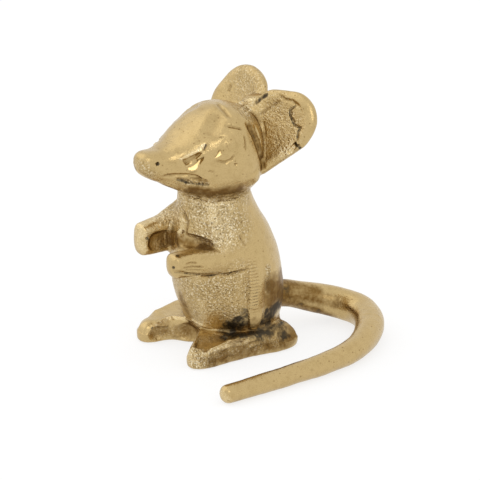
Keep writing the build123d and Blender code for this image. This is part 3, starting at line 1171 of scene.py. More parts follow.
@dataclass(frozen=True)
class FaceWork:
    """The facets and gouges of the face, ears and neck."""

    facets: tuple[Facet, ...] = (
        Facet(
            (
                (181.8, 160.6), (190.5, 155.6), (198, 151.9), (203, 152.5),
                (199, 157), (193, 162), (186, 166),
            ),
            0.75, (0.30, -0.45),
        ),
        Facet(
            (
                (204.3, 156.3), (203.6, 160), (200.5, 165), (196.8, 171),
                (191.8, 172.5), (187, 171), (187, 166.3), (193, 162.5),
            ),
            0.35, (0, 0), 0.9,
        ),
        Facet(
            (
                (178.6, 158.8), (190.5, 153), (197, 149), (201.8, 143.8),
                (206.1, 143.8), (204.3, 150), (197, 151.4), (182, 160.4),
            ),
            -0.2, (0, 0), 0.9,
        ),
        Facet(
            (
                (213, 158), (215.5, 155), (219.3, 149.4), (222.4, 150),
                (222.4, 155), (218.6, 158), (214.3, 160),
            ),
            0.15, (0, 0), 1.0,
        ),
        Facet(((234, 163.5), (238, 163), (239, 166.5), (235.5, 167.5)), 0.1, (0, 0), 1.0),
        Facet(((188, 176), (197, 177), (206, 181.5), (200, 182), (190, 180)), 0.5, (0.0, -0.5)),
        Facet(((281, 158), (287, 150), (296, 141), (298, 146), (291, 155)), 0.3, (0, 0), 0.7, False),
    )
    cuts: tuple[Gouge, ...] = (
        Gouge(((205.8, 144.6), (204.4, 151)), 0.7, 0.9, True, True),
        Gouge(((221, 112), (215, 124), (208, 137)), 4.0, 0.8, True),
        Gouge(((237, 104), (246, 100.6), (253, 98)), 0.7, -0.45, False, True),
        Gouge(((242, 109), (248.5, 105), (253.5, 102)), 0.6, -0.4, False, True),
        Gouge(((246, 114), (250.5, 109.5)), 0.5, -0.35, False, True),
        Gouge(((255, 103.6), (261, 98), (267, 94.6)), 1.0, 0.6, False, True),
        Gouge(((217, 103), (223, 109), (230, 117)), 1.2, 0.45),
        Gouge(((224.5, 108), (230.5, 117)), 0.5, 0.5, True, True),
        Gouge(((213, 127.3), (217, 125.6), (222, 125.2)), 0.5, 0.5, True, True),
        Gouge(((227, 125.6), (235, 126.6), (243, 128.7)), 0.9, 0.55, True),
        Gouge(((219.8, 136.8), (223.2, 136.4)), 0.5, 0.35, True),
        Gouge(((244.6, 135), (246, 142), (246.2, 150)), 0.6, 0.35, True),
        Gouge(((215.5, 161), (225.5, 162.6), (231.8, 159.4), (234.9, 154.4)), 0.8, 0.45, True),
        Gouge(((208, 171), (215, 172)), 0.4, 0.3, True),
        Gouge(((227, 146), (236, 142)), 1.8, -0.35, True),
        Gouge(
            ((164, 176.3), (174, 175), (186.8, 175), (195.5, 176.3), (205.5, 181.3), (209, 184.4)),
            0.7, 0.6, True, True,
        ),
        Gouge(((177, 179.5), (184, 181), (191, 183)), 1.2, 0.45, True),
        Gouge(((177, 178.4), (179, 181)), 0.45, 0.5, True, True),
        Gouge(((181, 179), (183.4, 182)), 0.45, 0.5, True, True),
        Gouge(((185.4, 180.4), (188, 183.4)), 0.45, 0.6, True, True),
        Gouge(((190.5, 182), (193, 185)), 0.45, 0.6, True, True),
        Gouge(((194.5, 182), (196.5, 185.4)), 0.45, 0.6, True, True),
        Gouge(((198, 182.4), (200.5, 185.6)), 0.45, 0.7, True, True),
        Gouge(((201.6, 183), (204, 186)), 0.45, 0.7, True, True),
        Gouge(((204.5, 184), (208.5, 185.6)), 0.5, 0.7, True, True),
        Gouge(((160, 181.5), (170.5, 185.6), (181, 189)), 0.8, -0.3, True),
        Gouge(((182, 189), (187, 193.4), (190.5, 190)), 0.7, -0.35, True),
        Gouge(((156.4, 163.4), (158.6, 164.2)), 0.85, 1.3, True),
        Gouge(((153, 161.6), (154, 162)), 0.6, -0.3, True),
        Gouge(((161.0, 173.2), (161.8, 173.8)), 0.45, 0.45, True),
        Gouge(((184, 194), (200, 198.6), (215, 200), (232, 197.6), (249, 191)), 1.0, 0.6, True),
        Gouge(((254, 171), (255.5, 176), (255, 182)), 4.2, -0.9, True),
        Gouge(((247.4, 124.4), (253, 133.8), (258, 146.3), (261.8, 160), (262.6, 167)), 1.3, 0.8, True),
        Gouge(((249, 128), (256, 142), (260, 154)), 0.5, 0.5, True, True),
        Gouge(((254.9, 126.3), (260.5, 140), (263, 151)), 0.7, 0.6, True, True),
        Gouge(((263.6, 122), (265.5, 136)), 0.5, 0.4, False, True),
        Gouge(((231, 84), (228, 92)), 0.7, 0.35),
        Gouge(((226.6, 87), (227.4, 87)), 0.5, 0.4),
        Gouge(((260, 115), (268, 109), (279, 101)), 0.7, 0.45, False, True),
        Gouge(((278, 94), (285, 99.4), (292, 101), (299, 106)), 0.8, 0.5, False, True),
        Gouge(
            (
                (294, 103), (295, 106), (289.5, 110), (291, 113), (289.6, 115),
                (293, 121), (294, 125), (300, 128), (297.6, 132), (297, 140),
            ),
            0.6, 0.7, False, True,
        ),
        Gouge(((281, 157), (285, 154), (282, 151)), 0.5, 0.35, False, True),
        Gouge(((296, 143), (299, 147)), 0.8, 0.6),
    )


@dataclass(frozen=True)
class BodyWork:
    """The facets, gouges, ridges, scoops and pits of the body, arms, feet and tail."""

    facets: tuple[Facet, ...] = (
        Facet(
            (
                (204, 352), (216, 347), (231, 340.6), (246, 338.5),
                (250, 342), (232, 348.5), (216, 352.5), (207, 357),
            ),
            0.3, (0.1, 0.35), 0.0, False,
        ),
        Facet(((190, 350), (196, 349), (199.5, 355), (196, 361), (190.5, 358)), 0.25, (0, 0), 0.4, False),
        Facet(((197, 362), (200.5, 356.5), (204, 358), (201.5, 366)), 0.2, (0.3, 0.1), 0.2, False),
        Facet(((207, 358), (216, 354), (222, 354), (218, 362), (210, 365)), 0.2, (0.0, -0.2), 0.0, False),
        Facet(
            (
                (199.4, 332), (203, 329.6), (221, 333.4), (229, 337.4),
                (222, 343), (204.5, 350.6), (193.4, 346.6),
            ),
            0.7, (0, 0), 0.0, False,
        ),
    )
    cuts: tuple[Gouge, ...] = (
        Gouge(((180, 231), (186, 236)), 2.8, 0.0),
        Gouge(((180, 231), (186, 236)), 2.8, 0.0),
        Gouge(((171, 222), (173.5, 232), (174, 242)), 3.0, 0.0),
        Gouge(((171, 222), (173.5, 232), (174, 242)), 3.0, 0.0),
        Gouge(((182, 210), (186.5, 222), (184, 236)), 1.3, 0.5),
        Gouge(((179, 214), (181, 224), (177, 234)), 1.4, -0.3),
        Gouge(((211, 206), (214, 222), (217, 240)), 2.2, -0.55),
        Gouge(((173, 271), (189, 274.3), (208, 275.7), (228, 274.3), (247, 270)), 0.65, 0.75, False, True),
        Gouge(((186, 264.6), (191, 263), (197, 263.4)), 0.5, 0.5, False, True),
        Gouge(((184, 268.4), (194, 267), (203, 267.6)), 0.5, 0.5, False, True),
        Gouge(((184, 271), (194, 270), (203, 270.6)), 0.4, 0.4, False, True),
        Gouge(((239, 235), (246.6, 247)), 0.8, 0.3),
        Gouge(((177.8, 255.8), (179, 256.4)), 0.65, 0.8),
        Gouge(((173.2, 266.8), (174, 267.6)), 0.55, 0.6),
        Gouge(((146.4, 238.2), (147.4, 238.8)), 0.65, 0.8),
        Gouge(((166, 246), (167, 246.6)), 0.6, 0.5),
        Gouge(
            ((155, 325), (163, 319.3), (173, 316.4), (184, 317.9), (194, 320.7), (201, 325), (211, 328.6)),
            0.8, -0.4, False, True,
        ),
        Gouge(((151.4, 328), (152.2, 328.6)), 0.65, 0.8),
        Gouge(
            (
                (202, 362), (204, 358), (208, 355.2), (213, 354.6), (216, 352),
                (224, 351.6), (232, 348.4), (246, 345.4), (260, 341),
            ),
            0.8, 0.8, False, True,
        ),
        Gouge(((222, 361), (230, 356), (236, 356)), 0.6, 0.4, False, True),
        Gouge(((250, 350), (262, 345), (272, 344)), 0.7, 0.4, False, True),
        Gouge(((224, 334), (236, 331), (248, 331)), 0.8, 0.5, False, True),
        Gouge(((342, 347), (342.6, 347.4)), 0.45, 0.4),
        Gouge(((323, 356), (323.6, 356.4)), 0.45, 0.4),
    )
    scoops: tuple[Scoop, ...] = (
        Scoop(Casting.ARM_RIGHT, (-4.7, -15.0, 33.7), (-4.7, -21.0, 33.7), 3.6, (-1.0, 0.0, 0.0)),
        Scoop(Casting.TORSO, (1.5, -17.6, 36.2), (9.5, -14.6, 35.8), 2.6, (-0.3, 0.95, 0.0)),
        Scoop(Casting.FOOT_RIGHT, (-5.9, -20.4, 3.7), (-1.4, -13.4, 3.7), 4.0, (-0.85, 0.5, 0.0)),
    )


@dataclass(frozen=True)
class FlankStrip:
    """The filed strip down each flank, where the mould's halves met, with a row of file marks."""

    middle: float = -0.15
    width: float = 5.8
    foot: float = 7.2
    top: float = 33.0
    taper: float = 7.0
    nib: float = 3.4
    proud: float = 0.6
    back_fade: float = 2.2
    fade: float = 0.4
    tip: float = 0.6
    nib_height: float = 1.2

    def raise_on(self, pattern: Pattern, torso: Array) -> None:
        """Raises the strips and marks where the file has been.

        Args:
            pattern: The pattern.
            torso: Which of its points are the torso's.
        """
        x, y, z = pattern.points.T
        flank = torso * (np.abs(x) > 8)
        heights = [self.foot, self.foot + self.nib_height, self.foot + self.taper]
        half = np.interp(z, heights, [self.tip, self.nib, self.width]) / 2
        behind = np.interp(z, [self.foot + 4.0, self.foot + 9.0], [self.fade, self.back_fade])
        fade = np.where(y > self.middle, behind, self.fade)
        beside = np.abs(y - self.middle)
        edge = np.clip((half - beside) / fade, 0, 1)
        ends = np.clip((z - self.foot) / 0.5, 0, 1) * np.clip((self.top - z) / 12.0, 0, 1)
        lift = edge * edge * (3 - 2 * edge) * ends * flank
        pattern.points = pattern.points + pattern.normals * (self.proud * lift)[:, None]
        front = np.clip((self.middle + 0.2 - y) / 0.5, 0, 1) * np.clip((half + 0.3 - beside) / 0.4, 0, 1)
        tall = np.clip((z - 14.0) / 3.0, 0.15, 1) * np.clip((z - self.foot - 2.0) / 1.0, 0, 1)
        tall = tall * np.clip((35.0 - z) / 6.0, 0, 1)
        pattern.finish_and_painted_light["filed"] = front * tall * flank
        pattern.finish_and_painted_light["strip"] = np.clip(lift * 1.5, 0, 1)


@dataclass(frozen=True)
class FinishAndPaintedLight:
    """Where the casting is left grainy, where highlights are painted, and where it is brown or black with
    patina, in places painted shade instead.
    """

    grain: tuple[Dab, ...] = (
        Dab(((195, 210), (215, 215), (230, 225)), 9.0, 0.9, True),
        Dab(((205, 235), (222, 232)), 7.0, 0.9, True),
        Dab(((190, 290), (215, 290), (238, 285)), 9.0, 0.8, True),
        Dab(((200, 310), (230, 305)), 8.0, 0.7, True),
        Dab(((275, 110), (285, 125), (280, 145)), 8.0, 0.5, False),
        Dab(((240, 80), (250, 85)), 8.0, 0.45, False),
        Dab(((240, 105), (250, 115)), 4.0, 0.9, False),
        Dab(((180, 181), (205, 184)), 1.6, 0.6, True),
        Dab(((205, 200), (245, 196)), 4.0, 0.7, True),
        Dab(((195, 350), (198, 362), (210, 360)), 4.0, 1.0, False),
        Dab(((210, 358), (240, 350), (280, 342)), 2.6, 0.8, False),
        Dab(((200, 340), (220, 337)), 3.0, 0.5, False),
        Dab(((160, 330), (185, 332)), 3.0, 0.6, False),
        Dab(((158, 245), (166, 240)), 3.4, 0.6, False),
        Dab(((142, 166), (150, 174)), 2.5, 0.6, True),
        Dab(((268, 268), (268, 290)), 1.6, 1.0, False),
    )
    # Painted highlights: paler brass on the chest, the right shoulder and hand, the eye's facet edge, the
    # ridges between the ears, the near ear, the feet's toes and rims and the tail's tip, where light catches.
    bright: tuple[Dab, ...] = (
        Dab(((211, 204), (215, 220), (219, 239)), 4.2, 1.0),
        Dab(((222, 207), (226, 222), (223, 240)), 4.4, 0.8),
        Dab(((198, 206), (203, 222), (208, 236)), 4.0, 0.6),
        Dab(((158, 221), (170, 217), (178, 224), (174, 240)), 4.0, 0.8),
        Dab(((181, 159), (190, 154.4), (198, 150.4), (204, 145.4)), 0.8, 1.0, True),
        Dab(((140, 228), (142, 245)), 3.6, 0.7),
        Dab(((192, 352), (196, 362)), 3.0, 0.7),
        Dab(((204, 353.5), (216, 349.6), (230, 343.6), (246, 340.4)), 1.3, 0.9),
        Dab(((192, 348), (202, 331)), 0.7, 0.7),
        Dab(((237, 104), (246, 100.6), (253, 98)), 1.1, 1.0),
        Dab(((242, 109), (248.5, 105), (253.5, 102)), 1.0, 1.0),
        Dab(((246, 114), (250.5, 109.5)), 0.8, 0.9),
        Dab(((284, 154), (294, 145)), 1.8, 0.8),
        Dab(((222, 395), (226, 400)), 2.0, 0.5),
        Dab(((156, 325), (172, 316.6), (194, 320.7), (220, 331)), 0.7, 0.7),
    )
    # Brown tarnish on the tail's root, the hip and the flank, and painted shade under the chin, the snout and
    # the upper lip, above the left arm, in the right palm, in the crevice before each ear, on the feet's
    # walls and along the tail's upper edge.
    tarnish_and_shade: tuple[Dab, ...] = (
        Dab(((281, 284), (290, 296)), 7.0, 1.3),
        Dab(((292, 290), (312, 294), (335, 303)), 3.0, 0.8),
        Dab(((282, 302), (315, 311), (345, 322)), 3.4, 1.1),
        Dab(((330, 316), (352, 328), (346, 338)), 4.0, 0.8),
        Dab(((271, 284), (272, 296), (274, 308)), 4.4, 1.0),
        Dab(((181, 296), (186, 310)), 2.6, 0.75),
        Dab(((204, 346), (212, 338.6), (222, 337.4)), 2.6, 0.5),
        Dab(((288, 284), (300, 290), (314, 295)), 4.4, 1.0),
        Dab(((228, 383), (300, 361.6), (346, 341)), 0.7, 0.7),
        Dab(((213, 361), (250, 352), (285, 342)), 3.8, 0.9),
        Dab(((158, 329), (170, 331), (192, 335)), 3.2, 0.6),
        Dab(((265, 330), (288, 334)), 6.0, 0.9),
        Dab(((228, 335), (262, 328)), 6.0, 0.9),
        Dab(((158, 327), (165, 324)), 2.6, 0.7),
        Dab(((186, 328), (190, 336)), 3.4, 0.7),
        Dab(((160, 246), (168, 238)), 3.4, 0.5),
        Dab(((179, 240), (186, 245), (197, 247), (210, 248)), 2.7, 1.0),
        Dab(((193, 191), (213, 194), (238, 190)), 3.6, 1.1, True),
        Dab(((140, 171), (152, 180), (170, 187)), 1.3, 0.6, True),
        Dab(((249, 128), (258, 146), (262, 165)), 1.9, 1.0, True),
        Dab(((189, 178), (205, 181)), 1.2, 0.6, True),
    )
    # Black patina on the hip and the flank, and painted shade in the pits, slits, grooves and crevices of the
    # face, the ears, the hands, the right foot and under the left arm.
    dark: tuple[Dab, ...] = (
        Dab(((229, 330), (238, 322), (248, 316)), 4.4, 1.1),
        Dab(((226, 336), (245, 335), (258, 334)), 3.4, 1.0),
        Dab(((262, 328), (269, 317), (277, 307)), 4.4, 1.1),
        Dab(((256, 335), (270, 332), (284, 333)), 4.4, 0.9),
        Dab(((280, 300), (281, 290)), 2.4, 0.6),
        Dab(((256, 103), (261, 98), (267, 94.6)), 1.3, 0.85),
        Dab(((230, 336), (240, 334.4), (250, 333.6), (262, 332), (274, 328), (281, 322)), 2.0, 1.0),
        Dab(((267, 310), (264, 318), (261.6, 327)), 1.3, 1.1),
        Dab(((248.6, 312), (250, 322), (251.6, 329)), 1.0, 1.0),
        Dab(((251, 131), (257, 144), (261.5, 158)), 0.6, 0.75, True),
        Dab(((177, 179.4), (184, 181.2), (191, 183.2), (200, 184.2), (208, 185.4)), 0.8, 0.9, True),
        Dab(((284, 283), (288, 290), (292, 298)), 4.0, 0.62),
        Dab(((284, 300), (300, 305), (318, 311)), 2.4, 0.55),
        Dab(((157.2, 163.7), (158.0, 164.0)), 0.85, 1.4, True),
        Dab(((204.4, 149), (205.8, 145)), 0.5, 1.1, True),
        Dab(
            ((295, 106), (290, 111), (290, 115), (294, 125), (300, 128), (297.6, 132), (297, 140)),
            0.55, 1.0,
        ),
        Dab(((296, 143), (300, 148)), 0.9, 1.0),
        Dab(((178, 256), (178.8, 256.4)), 0.95, 1.4),
        Dab(((173.4, 267), (174, 267.6)), 0.8, 1.2),
        Dab(((146.6, 238.4), (147.2, 238.8)), 0.9, 1.4),
        Dab(((151.6, 328.2), (152, 328.5)), 0.9, 1.4),
        Dab(((175, 272.6), (208, 275.7), (246, 270)), 0.5, 0.9),
    )


@dataclass(frozen=True)
class Bench:
    """Puts a material or the surroundings together from nodes."""

    tree: bpy.types.NodeTree
    pit_chosen: Range = (0.56, 0.62)
    pit_edge: Range = (0.2, 0.1)

    def node(self, kind: str, inputs: Inputs | None = None) -> bpy.types.Node:
        """Adds a node.

        Args:
            kind: Its kind.
            inputs: What goes into it: another node's output, or a plain value.

        Returns:
            The node.
        """
        node = self.tree.nodes.new(f"ShaderNode{kind}")
        self.fill(node, inputs or {})
        return node

    def fill(self, node: bpy.types.Node, inputs: Inputs) -> None:
        """Fills in a node's inputs.

        Args:
            node: The node.
            inputs: What goes into it: another node's output, or a plain value.
        """
        for name, value in inputs.items():
            if isinstance(value, Socket):
                self.tree.links.new(value, node.inputs[name])
            else:
                node.inputs[name].default_value = value

    def reckon(self, way: str, a: Socket, b: Socket | float) -> Socket:
        """Returns two values put together.

        Args:
            way: The operation.
            a: The first value.
            b: The second value, or a plain number.

        Returns:
            The result.
        """
        node = self.node("Math")
        node.operation = way
        self.fill(node, {0: a, 1: b})
        return node.outputs[0]

    def times(self, a: Socket, b: Socket | float) -> Socket:
        """Returns the product of two values."""
        return self.reckon("MULTIPLY", a, b)

    def plus(self, a: Socket, b: Socket | float) -> Socket:
        """Returns the sum of two values."""
        return self.reckon("ADD", a, b)

    def less(self, a: Socket, b: Socket | float) -> Socket:
        """Returns the first value less the second."""
        return self.reckon("SUBTRACT", a, b)

    def ramp(self, value: Socket, low: float, high: float) -> Socket:
        """Returns a value stretched so that low gives 0 and high gives 1."""
        return self.node("MapRange", {"From Min": low, "From Max": high, "Value": value}).outputs["Result"]

    def span(self, share: Socket, low: float, high: float) -> Socket:
        """Returns a value that goes from low to high with a share."""
        return self.node("MapRange", {"To Min": low, "To Max": high, "Value": share}).outputs["Result"]

    def layer(self, name: str) -> Socket:
        """Returns a layer of finish, painted highlight or painted shade kept on the piece."""
        node = self.node("Attribute")
        node.attribute_name = name
        return node.outputs["Fac"]

    def noise(self, place: Socket, scale: float, detail: float) -> Socket:
        """Returns a cloudy pattern.

        Args:
            place: Where on the figure.
            scale: Clouds to the metre.
            detail: How many finer layers.

        Returns:
            The pattern, about 0 to 1.
        """
        return self.node("TexNoise", {"Scale": scale, "Detail": detail, "Vector": place}).outputs["Fac"]

    def dots(self, place: Socket, scale: float) -> Socket:
        """Returns small pits strewn about.

        Args:
            place: Where on the figure.
            scale: Places for a pit to the metre, of which about a third have one.

        Returns:
            One in a pit and nought elsewhere.
        """
        cells = self.node("TexVoronoi", {"Scale": scale, "Vector": place})
        chosen = self.ramp(cells.outputs["Color"], *self.pit_chosen)
        return self.times(self.ramp(cells.outputs["Distance"], *self.pit_edge), chosen)

    def mix(self, share: Socket, a: Socket | Colour, b: Colour) -> Socket:
        """Returns a colour between two.

        Args:
            share: How much of the second.
            a: The first colour.
            b: The second colour.

        Returns:
            The mixed colour.
        """
        node = self.node("Mix")
        node.data_type = "RGBA"
        node.clamp_factor = True
        factor, first, second, result = 0, 6, 7, 2
        self.fill(node, {factor: share, first: a if isinstance(a, Socket) else (*a, 1.0), second: (*b, 1.0)})
        return node.outputs[result]

    def bump(self, height: Socket, strength: Socket, distance: float, under: Socket | None = None) -> Socket:
        """Returns a surface roughened by a height.

        Args:
            height: The height.
            strength: How much of it, from 0 to 1.
            distance: The height that counts as one, in metres.
            under: The surface that is roughened, if it isn't plain.

        Returns:
            The surface's normal.
        """
        node = self.node("Bump", {"Distance": distance, "Height": height, "Strength": strength})
        if under is not None:
            self.fill(node, {"Normal": under})
        return node.outputs["Normal"]

    def seen(self) -> Socket:
        """Returns one where the eye, a reflection or something clear looks, and nought for other light."""
        path = self.node("LightPath")
        looks = path.outputs["Is Camera Ray"]
        for name in ("Is Glossy Ray", "Is Transmission Ray"):
            looks = self.reckon("MAXIMUM", looks, path.outputs[name])
        return looks


@dataclass(frozen=True)
class BrassFinish:
    """Cast brass: polished on the high places, grainy where the sand left it, dark in the hollows, with
    painted highlights and painted glints, and brown and black patina that is in places painted shade.
    """

    polished: Colour = (0.56, 0.41, 0.19)
    cast: Colour = (0.50, 0.36, 0.16)
    brown: Colour = (0.22, 0.126, 0.036)
    black: Colour = (0.075, 0.058, 0.036)
    # The colour of the painted highlights.
    bright: Colour = (0.76, 0.60, 0.33)
    # The colour of the painted glints.
    glint: Colour = (0.97, 0.85, 0.60)
    polished_roughness: float = 0.27
    cast_roughness: float = 0.30
    file_pitch: float = 0.00098
    file_depth: float = 0.00011
    pock_depth: float = 0.0007
    sand_depth: float = 0.0005
    cloud_scale: float = 130.0
    soft_scale: float = 420.0
    pock_scale: float = 1100.0
    sand_scale: float = 2600.0
    glint_scale: float = 1900.0
    pit_scale: float = 620.0
    clouded: Range = (0.2, 0.5)
    dulled: Range = (0.52, 0.28)
    highlight_breakup: Range = (0.22, 0.52)
    glinting: Range = (0.52, 0.64)
    sanded: Range = (0.47, 0.33)
    pocked: Range = (0.42, 0.30)
    hollowed: Range = (0.2, 0.6)
    tarnish_and_shade_range: Range = (1.4, 2.2)
    black_patina_and_shade_range: Range = (1.72, 2.2)
    filed: Range = (0.25, 0.6)
    bright_shine: float = 0.6
    glint_amount: float = 0.95
    pit_amount: float = 0.6
    sand_amount: float = 0.55
    sand_everywhere: float = 0.18
    pock_amount: float = 0.8
    ragged_soft: float = 1.6
    ragged_pock: float = 0.7
    tarnish_roughness: float = 0.12
    black_roughness: float = 0.15
    polish_smoothness: float = 0.12
    grain_everywhere: float = 0.16
    polish_evenness: float = 0.1
    grain_strength: float = 0.85
    bright_strength: float = 0.4

    def make(self) -> bpy.types.Material:
        """Returns the metal."""
        metal = bpy.data.materials.new("cast_brass")
        metal.use_nodes = True
        metal.node_tree.nodes.clear()
        bench = Bench(metal.node_tree)
        times, plus, less, ramp, mix = bench.times, bench.plus, bench.less, bench.ramp, bench.mix
        place = bench.node("TexCoord").outputs["Object"]
        bright = bench.layer("bright")
        polish = bench.layer("polish")
        cloud = bench.noise(place, self.cloud_scale, 3.0)
        soft = bench.noise(place, self.soft_scale, 6.0)
        pock = bench.noise(place, self.pock_scale, 3.0)
        sand = bench.noise(place, self.sand_scale, 2.0)
        sparkle = bench.noise(place, self.glint_scale, 3.0)
        grainy = times(bench.layer("grain"), ramp(cloud, *self.clouded))

        colour = mix(grainy, self.polished, self.cast)
        colour = mix(ramp(soft, *self.dulled), colour, self.cast)
        # Painted highlight: paler brass, broken up by soft noise, on the ridges and rims where light catches.
        colour = mix(times(bright, ramp(soft, *self.highlight_breakup)), colour, self.bright)
        # Painted glints: pale specks on grainy places and under the painted highlights, standing for grains
        # that catch the light.
        shine = plus(grainy, times(bright, self.bright_shine))
        painted_glints = times(ramp(sparkle, *self.glinting), shine)
        colour = mix(times(painted_glints, self.glint_amount), colour, self.glint)
        # Brown pits and specks in the grain: partly dirt in it, partly painted shade in its pits.
        colour = mix(times(bench.dots(place, self.pit_scale), self.pit_amount), colour, self.brown)
        specks = plus(times(grainy, self.sand_amount), self.sand_everywhere)
        colour = mix(times(ramp(sand, *self.sanded), specks), colour, self.brown)
        colour = mix(times(ramp(pock, *self.pocked), times(grainy, self.pock_amount)), colour, self.brown)
        colour = mix(times(bench.layer("hollow"), ramp(soft, *self.hollowed)), colour, self.brown)
        ragged = plus(times(soft, self.ragged_soft), times(pock, self.ragged_pock))
        # Brown tarnish, and painted shade where it is rubbed into hollows and under overhangs.
        brown = ramp(plus(bench.layer("tarnish_and_shade"), ragged), *self.tarnish_and_shade_range)
        colour = mix(brown, colour, self.brown)
        # Black patina, and painted shade where it is rubbed into pits, slits and crevices.
        black_patina_and_shade = ramp(plus(bench.layer("dark"), ragged), *self.black_patina_and_shade_range)
        colour = mix(black_patina_and_shade, colour, self.black)

        rough = plus(times(grainy, self.cast_roughness - self.polished_roughness), self.polished_roughness)
        rough = plus(rough, times(brown, self.tarnish_roughness))
        rough = plus(rough, times(black_patina_and_shade, self.black_roughness))
        rough = less(rough, times(polish, self.polish_smoothness))

        plain = less(plus(grainy, self.grain_everywhere), times(polish, self.polish_evenness))
        strength = times(plain, self.grain_strength)
        lively = plus(strength, times(bright, self.bright_strength))
        surface = bench.bump(pock, lively, self.pock_depth)
        surface = bench.bump(sand, strength, self.sand_depth, surface)
        height = bench.node("SeparateXYZ", {0: place}).outputs["Z"]
        wave = bench.reckon("SINE", times(height, math.tau / self.file_pitch), 0.0)
        filed = times(bench.layer("filed"), ramp(soft, *self.filed))
        surface = bench.bump(wave, filed, self.file_depth, surface)

        inputs = {"Metallic": 1.0, "Base Color": colour, "Roughness": rough, "Normal": surface}
        shader = bench.node("BsdfPrincipled", inputs)
        bench.node("OutputMaterial", {"Surface": shader.outputs["BSDF"]})
        return metal


@dataclass(frozen=True)
class Studio:
    """White floor, white surroundings and soft lamps."""

    view: Viewpoint = Viewpoint()
    floor_white: float = 0.8
    floor_shade: float = 0.35
    floor_lit: float = 0.9
    floor_side: float = 12.0
    surround: float = 0.9
    key_place: tuple[float, float, float] = (-0.6, -0.5, 0.8)
    key_size: float = 1.2
    key_power: float = 1.9
    front_size: float = 0.3
    front_power: float = 0.6
    lamp_aim: tuple[float, float, float] = (0.0, 0.0, 0.04)
    sensor: float = 36.0
    far: float = 20.0

    def build(self) -> None:
        """Sets the camera, floor, surroundings and lamps."""
        self.camera()
        self.floor()
        self.world()
        self.lamp("key", self.key_place, self.key_size, self.key_power)
        self.lamp("front", tuple(self.view.lamp_way()), self.front_size, self.front_power)

    def camera(self) -> None:
        """Puts the camera where the picture is taken from."""
        right, up, back = self.view.axes()
        half = self.view.picture / 2
        far = self.view.distance * self.view.scale
        aim = -back * far + right * (half - self.view.centre[0]) + up * (self.view.centre[1] - half)
        data = bpy.data.cameras.new("camera")
        data.sensor_width = self.sensor
        data.lens = data.sensor_width * float(np.linalg.norm(aim)) / self.view.picture
        data.clip_end = self.far
        camera = bpy.data.objects.new("camera", data)
        bpy.context.scene.collection.objects.link(camera)
        z = -unit(aim)
        x = unit(np.cross(up, z))
        y = np.cross(z, x)
        turn = Matrix((x, y, z)).transposed().to_4x4()
        camera.matrix_world = Matrix.Translation(Vector(back * self.view.distance * MM)) @ turn
        bpy.context.scene.camera = camera

    def floor(self) -> None:
        """Lays a floor that is white to the eye and in reflections, with a light shadow."""
        deselect()
        bpy.ops.mesh.primitive_plane_add(size=self.floor_side, location=(0, 0, 0))
        plane = bpy.context.object
        plane.name = "floor"
        paint = bpy.data.materials.new("floor_paint")
        paint.use_nodes = True
        paint.node_tree.nodes.clear()
        bench = Bench(paint.node_tree)
        looks = bench.seen()
        shade = self.floor_white * self.floor_shade
        matt = bench.node("BsdfDiffuse", {"Color": bench.span(looks, self.floor_white, shade)})
        strength = bench.span(looks, 0.0, 1.0 - shade * self.floor_lit)
        glow = bench.node("Emission", {"Color": WHITE, "Strength": strength})
        both = bench.node("AddShader", {0: matt.outputs["BSDF"], 1: glow.outputs["Emission"]})
        bench.node("OutputMaterial", {"Surface": both.outputs["Shader"]})
        plane.data.materials.append(paint)

    def world(self) -> None:
        """Makes the surroundings white to the eye and in reflections, and softer as a light."""
        world = bpy.data.worlds.new("surround")
        bpy.context.scene.world = world
        world.use_nodes = True
        bench = Bench(world.node_tree)
        strength = bench.span(bench.seen(), self.surround, 1.0)
        bench.fill(world.node_tree.nodes["Background"], {"Color": WHITE, "Strength": strength})

    def lamp(self, name: str, place: tuple[float, float, float], size: float, power: float) -> None:
        """Hangs a soft square lamp that points at the figure.

        Args:
            name: The lamp's name.
            place: Where it hangs.
            size: Its side.
            power: Its power in watts.
        """
        data = bpy.data.lights.new(name, "AREA")
        data.size = size
        data.energy = power
        lamp = bpy.data.objects.new(name, data)
        lamp.location = place
        lamp.rotation_euler = (Vector(self.lamp_aim) - Vector(place)).to_track_quat("-Z", "Y").to_euler()
        bpy.context.scene.collection.objects.link(lamp)


@dataclass(frozen=True)
class Crown:
    """The rounding of one end of a foot, from a start forward, or back where the fade is negative."""

    casting: Casting
    sole: tuple[Spot, ...]
    start: float
    fade: float
    lift: float
    low: float
    radius: float


